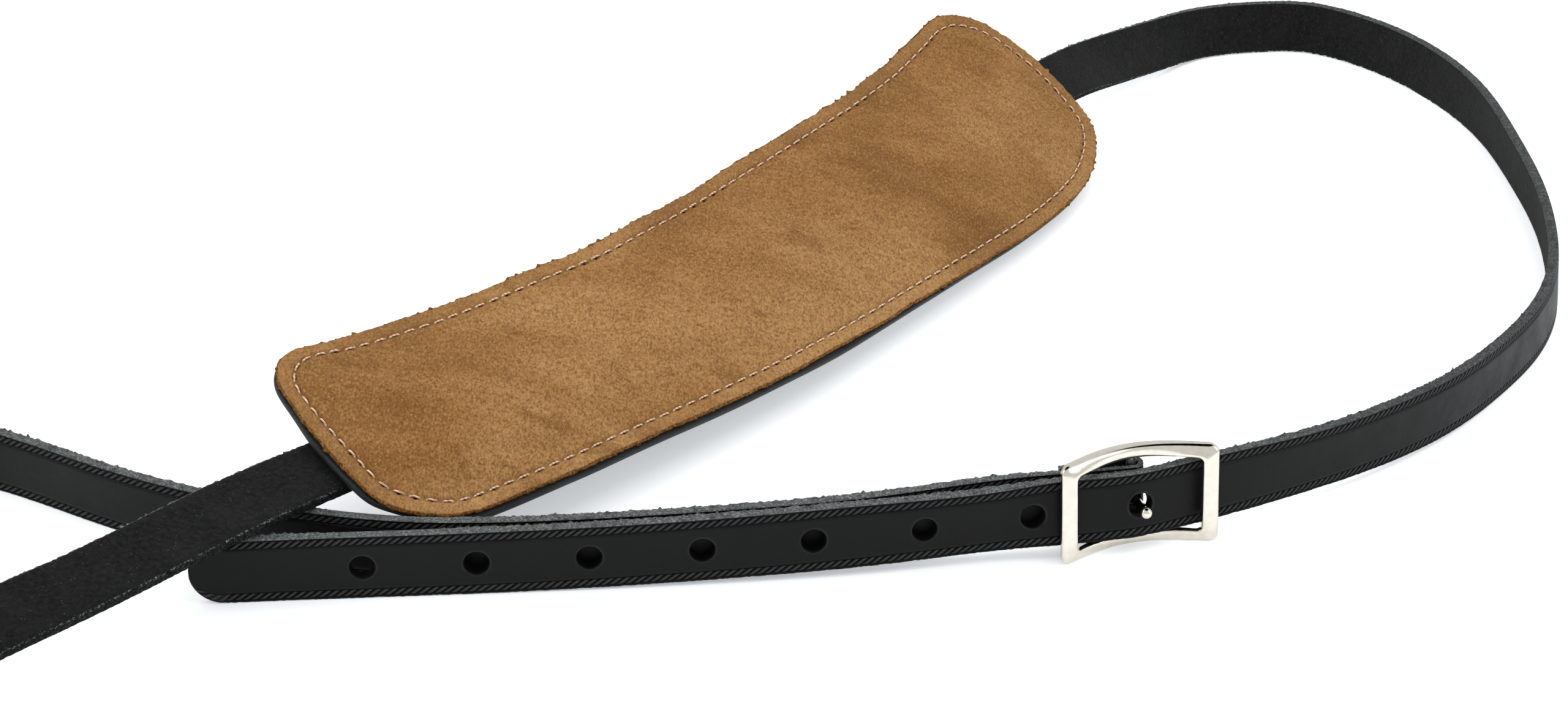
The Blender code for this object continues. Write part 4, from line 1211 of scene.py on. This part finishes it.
def make_hook(nickel, steel):
    """The eye with its post, the barrel with its hook, the spring, the bolt and its knob."""
    local = hook_frame()
    outline = rounded_rectangle(10.0, 21.0, 3.2, 10, 8)
    loop = [(x - 5.0, 0.0, z - 10.5) for x, z in outline]
    eye = from_bmesh("eye_loop", tube(loop, EYE_ROD, 24, closed=True), nickel, local, 60)
    post = rounded_profile([(5.4, 2.0), (12.9, 2.0), (13.1, 3.1), (14.7, 3.1), (15.1, 2.6)], 0.3)
    cut(eye, turned(post), local, "UNION")
    eye.data.set_sharp_from_angle(angle=math.radians(50))

    barrel = rounded_profile([(7.4, 3.6), (8.0, 4.6), (9.0, 5.0), (16.0, 5.0), (17.2, 4.5),
                              (45.0, 4.5), (47.0, 4.3), (47.8, 3.8)], 0.5)
    body = from_bmesh("hook_barrel", turned(barrel, 48), nickel, local)
    route = [(42.0, 1.5, 0), (44.5, 4.6, 0), (49.0, 9.6, 0), (54.5, 13.2, 0), (60.8, 13.8, 0),
             (65.9, 10.6, 0), (67.4, 5.4, 0), (65.0, 0.9, 0)]
    path = smooth_curve(route, step=0.9)
    run = arc_lengths(path)
    radius = 2.2 * np.sqrt(np.clip(1 - np.clip(1 - (run[-1] - run) / 1.2, 0, 1) ** 2 * 0.75, 0, 1))
    cut(body, tube(path, radius, 24), local, "UNION")
    for profile in ([(6.0, 2.35), (12.5, 2.35), (12.6, 3.5), (15.5, 3.5)],
                    [(20.0, 2.85), (48.5, 2.85)]):
        cut(body, turned(profile), local)
    slot = bmesh.new()
    bmesh.ops.create_cube(slot, size=1.0)
    bmesh.ops.scale(slot, vec=(11.8, 2.7, 4.5), verts=slot.verts)
    bmesh.ops.translate(slot, vec=(37.9, 0.0, 3.75), verts=slot.verts)
    bmesh.ops.bevel(slot, geom=slot.edges[:], offset=0.9, segments=4, affect="EDGES")
    cut(body, slot, local)
    body.data.set_sharp_from_angle(angle=math.radians(40))

    turns, per_turn = 6, 28
    coil = []
    for i in range(turns * per_turn + 1):
        a = 2 * math.pi * i / per_turn
        along = SPRING_ENDS[0] + (SPRING_ENDS[1] - SPRING_ENDS[0]) * i / (turns * per_turn)
        coil.append((along, 2.05 * math.cos(a), 2.05 * math.sin(a)))
    spring = from_bmesh("spring_coil", tube(coil, 0.4, 10), steel, local, 60)

    bolt = rounded_profile([(29.0, 0.9), (29.3, 1.1), (34.5, 1.1), (34.5, BOLT_RADIUS),
                            (BOLT_TIP - 1.2, BOLT_RADIUS), (BOLT_TIP - 0.3, 2.0), (BOLT_TIP, 0.8)], 0.35)
    bolt = from_bmesh("snap_bolt", turned(bolt, 40), nickel, local)
    knob = rounded_profile([(BOLT_RADIUS + 0.3, 1.0), (5.6, 1.0), (6.1, 2.0), (7.2, 2.7), (8.4, 2.6),
                            (9.4, 1.7), (9.8, 0.4)], 0.5)
    knob = from_bmesh("thumb_knob", turned(knob, 32, (42.3, 0, 0), (0, 0, 1)), nickel, local)
    return eye, body, spring, bolt, knob


# ---- studio
def make_studio():
    """White table, three area lights and a bright sky that goes dark overhead."""
    bpy.ops.mesh.primitive_plane_add(size=6.0, location=(0, 0.8, 0))
    floor = bpy.context.object
    floor.name = "table"
    floor.data.materials.append(table_top())

    def area(name, at, look, size, power, colour=(1, 1, 1)):
        """A rectangular light at a place, turned to look at another."""
        data = bpy.data.lights.new(name, "AREA")
        data.shape = "RECTANGLE"
        data.size, data.size_y = size
        data.energy = power
        data.color = colour
        light = add_object(name, data)
        light.location = at
        light.rotation_euler = (Vector(look) - Vector(at)).to_track_quat("-Z", "Y").to_euler()
        return light

    overhead = area("overhead_softbox", (0.1, 0.1, 1.5), (0.0, 0.0, 0.0), (2.2, 1.7), 19.0)
    overhead.visible_glossy = False
    area("left_softbox", (-1.3, -0.2, 0.9), (0.0, 0.0, 0.0), (0.9, 0.9), 6.0, (1.0, 0.985, 0.96))
    area("right_fill", (1.3, -0.5, 0.7), (0.1, 0.0, 0.0), (0.8, 0.8), 4.0, (0.96, 0.98, 1.0))

    world = bpy.data.worlds.new("studio")
    world.use_nodes = True
    nodes, links = world.node_tree.nodes, world.node_tree.links
    ray = nodes.new("ShaderNodeSeparateXYZ")
    links.new(nodes.new("ShaderNodeTexCoord").outputs["Generated"], ray.inputs["Vector"])
    ramp = nodes.new("ShaderNodeValToRGB")
    links.new(ray.outputs["Z"], ramp.inputs["Fac"])
    stops = ((0.0, 0.95), (0.84, 0.95), (0.9, 0.0), (1.0, 0.0))
    elements = ramp.color_ramp.elements
    while len(elements) < len(stops):
        elements.new(0.5)
    for element, (position, level) in zip(elements, stops):
        element.position = position
        element.color = (level * 0.96, level * 0.98, level, 1.0)
    background = nodes["Background"]
    links.new(ramp.outputs["Color"], background.inputs["Color"])
    background.inputs["Strength"].default_value = 0.95
    bpy.context.scene.world = world
    bpy.context.scene.view_settings.view_transform = "Standard"


def make_camera():
    """The camera that looks down on the table from the layout's origin."""
    data = bpy.data.cameras.new("camera")
    data.lens = CAMERA_LENS
    data.sensor_width = 36.0
    data.clip_start = 0.01
    camera = add_object("camera", data)
    camera.location = to_world((0.0, 0.0, CAMERA_HEIGHT))
    camera.rotation_euler = (math.radians(90.0 - CAMERA_PITCH), 0.0, 0.0)
    bpy.context.scene.camera = camera


# ---- assembly
def place(piece, body, slot, *nodes):
    """The piece moves with a CAD body and stands for its nodes; slot is not used."""
    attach(piece, body)
    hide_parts(*nodes)


def main():
    """Build every visible piece on the loaded CAD bodies."""
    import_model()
    make_camera()
    make_studio()

    grain, flesh = grain_leather(), flesh_leather()
    edge = edge_leather("grey_cut_edge", (0.035, 0.037, 0.037), (0.15, 0.16, 0.158),
                        (0.46, 0.47, 0.462))
    # painted shade: the lower cut edge is a darkened copy of the grey edge, standing for the shade on
    # the edge that faces down
    shaded_low_edge = edge_leather("shaded_dark_cut_edge", (0.005, 0.005, 0.005), (0.013, 0.0135, 0.0135),
                            (0.1, 0.102, 0.1))
    lint = edge_leather("linty_border", (0.004, 0.004, 0.004), (0.03, 0.03, 0.03), (0.5, 0.5, 0.49))
    nickel, steel = nickel_plate(), spring_steel()
    suede, rim, back_mat, thread = suede_face(), suede_edge(), back_leather(), cream_thread()

    strap = make_strap((grain, flesh, edge, shaded_low_edge, lint))
    punch_strap(strap)
    place(strap, "strap", "black_leather", "strap")
    place(make_rivet(nickel), "strap", "nickel", "fold_rivet")

    frame, stud = make_buckle(nickel)
    place(frame, "buckle", "nickel", "buckle_frame")
    place(stud, "buckle", "nickel", "buckle_stud")

    face, back = make_pad(suede, rim, back_mat)
    place(face, "pad", "tan_suede", "pad_suede", "pad_foam")
    place(back, "pad", "pad_black_leather", "pad_back")
    top = make_stitches("seam_stitches_face", PAD_SUEDE[1] - 0.1, -1.0, thread)
    place(top, "pad", "thread", "pad_thread_top")
    under = make_stitches("seam_stitches_back", PAD_BACK[0] - 0.05, 1.0, thread)
    place(under, "pad", "thread", "pad_thread_bottom")
    for name, node, middle in (("keeper_bridge_left", "keeper_left", 62.0),
                               ("keeper_bridge_right", "keeper_right", 243.0)):
        place(from_bmesh(name, keeper(middle), back_mat), "pad", "pad_black_leather", node)

    eye, body, spring, bolt, knob = make_hook(nickel, steel)
    place(eye, "eye", "nickel", "swivel_eye")
    place(body, "hook", "nickel", "hook_body")
    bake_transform(spring)
    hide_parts("bolt_spring")
    place(bolt, "bolt", "nickel", "hook_bolt")
    place(knob, "bolt", "nickel", "bolt_knob")


main()
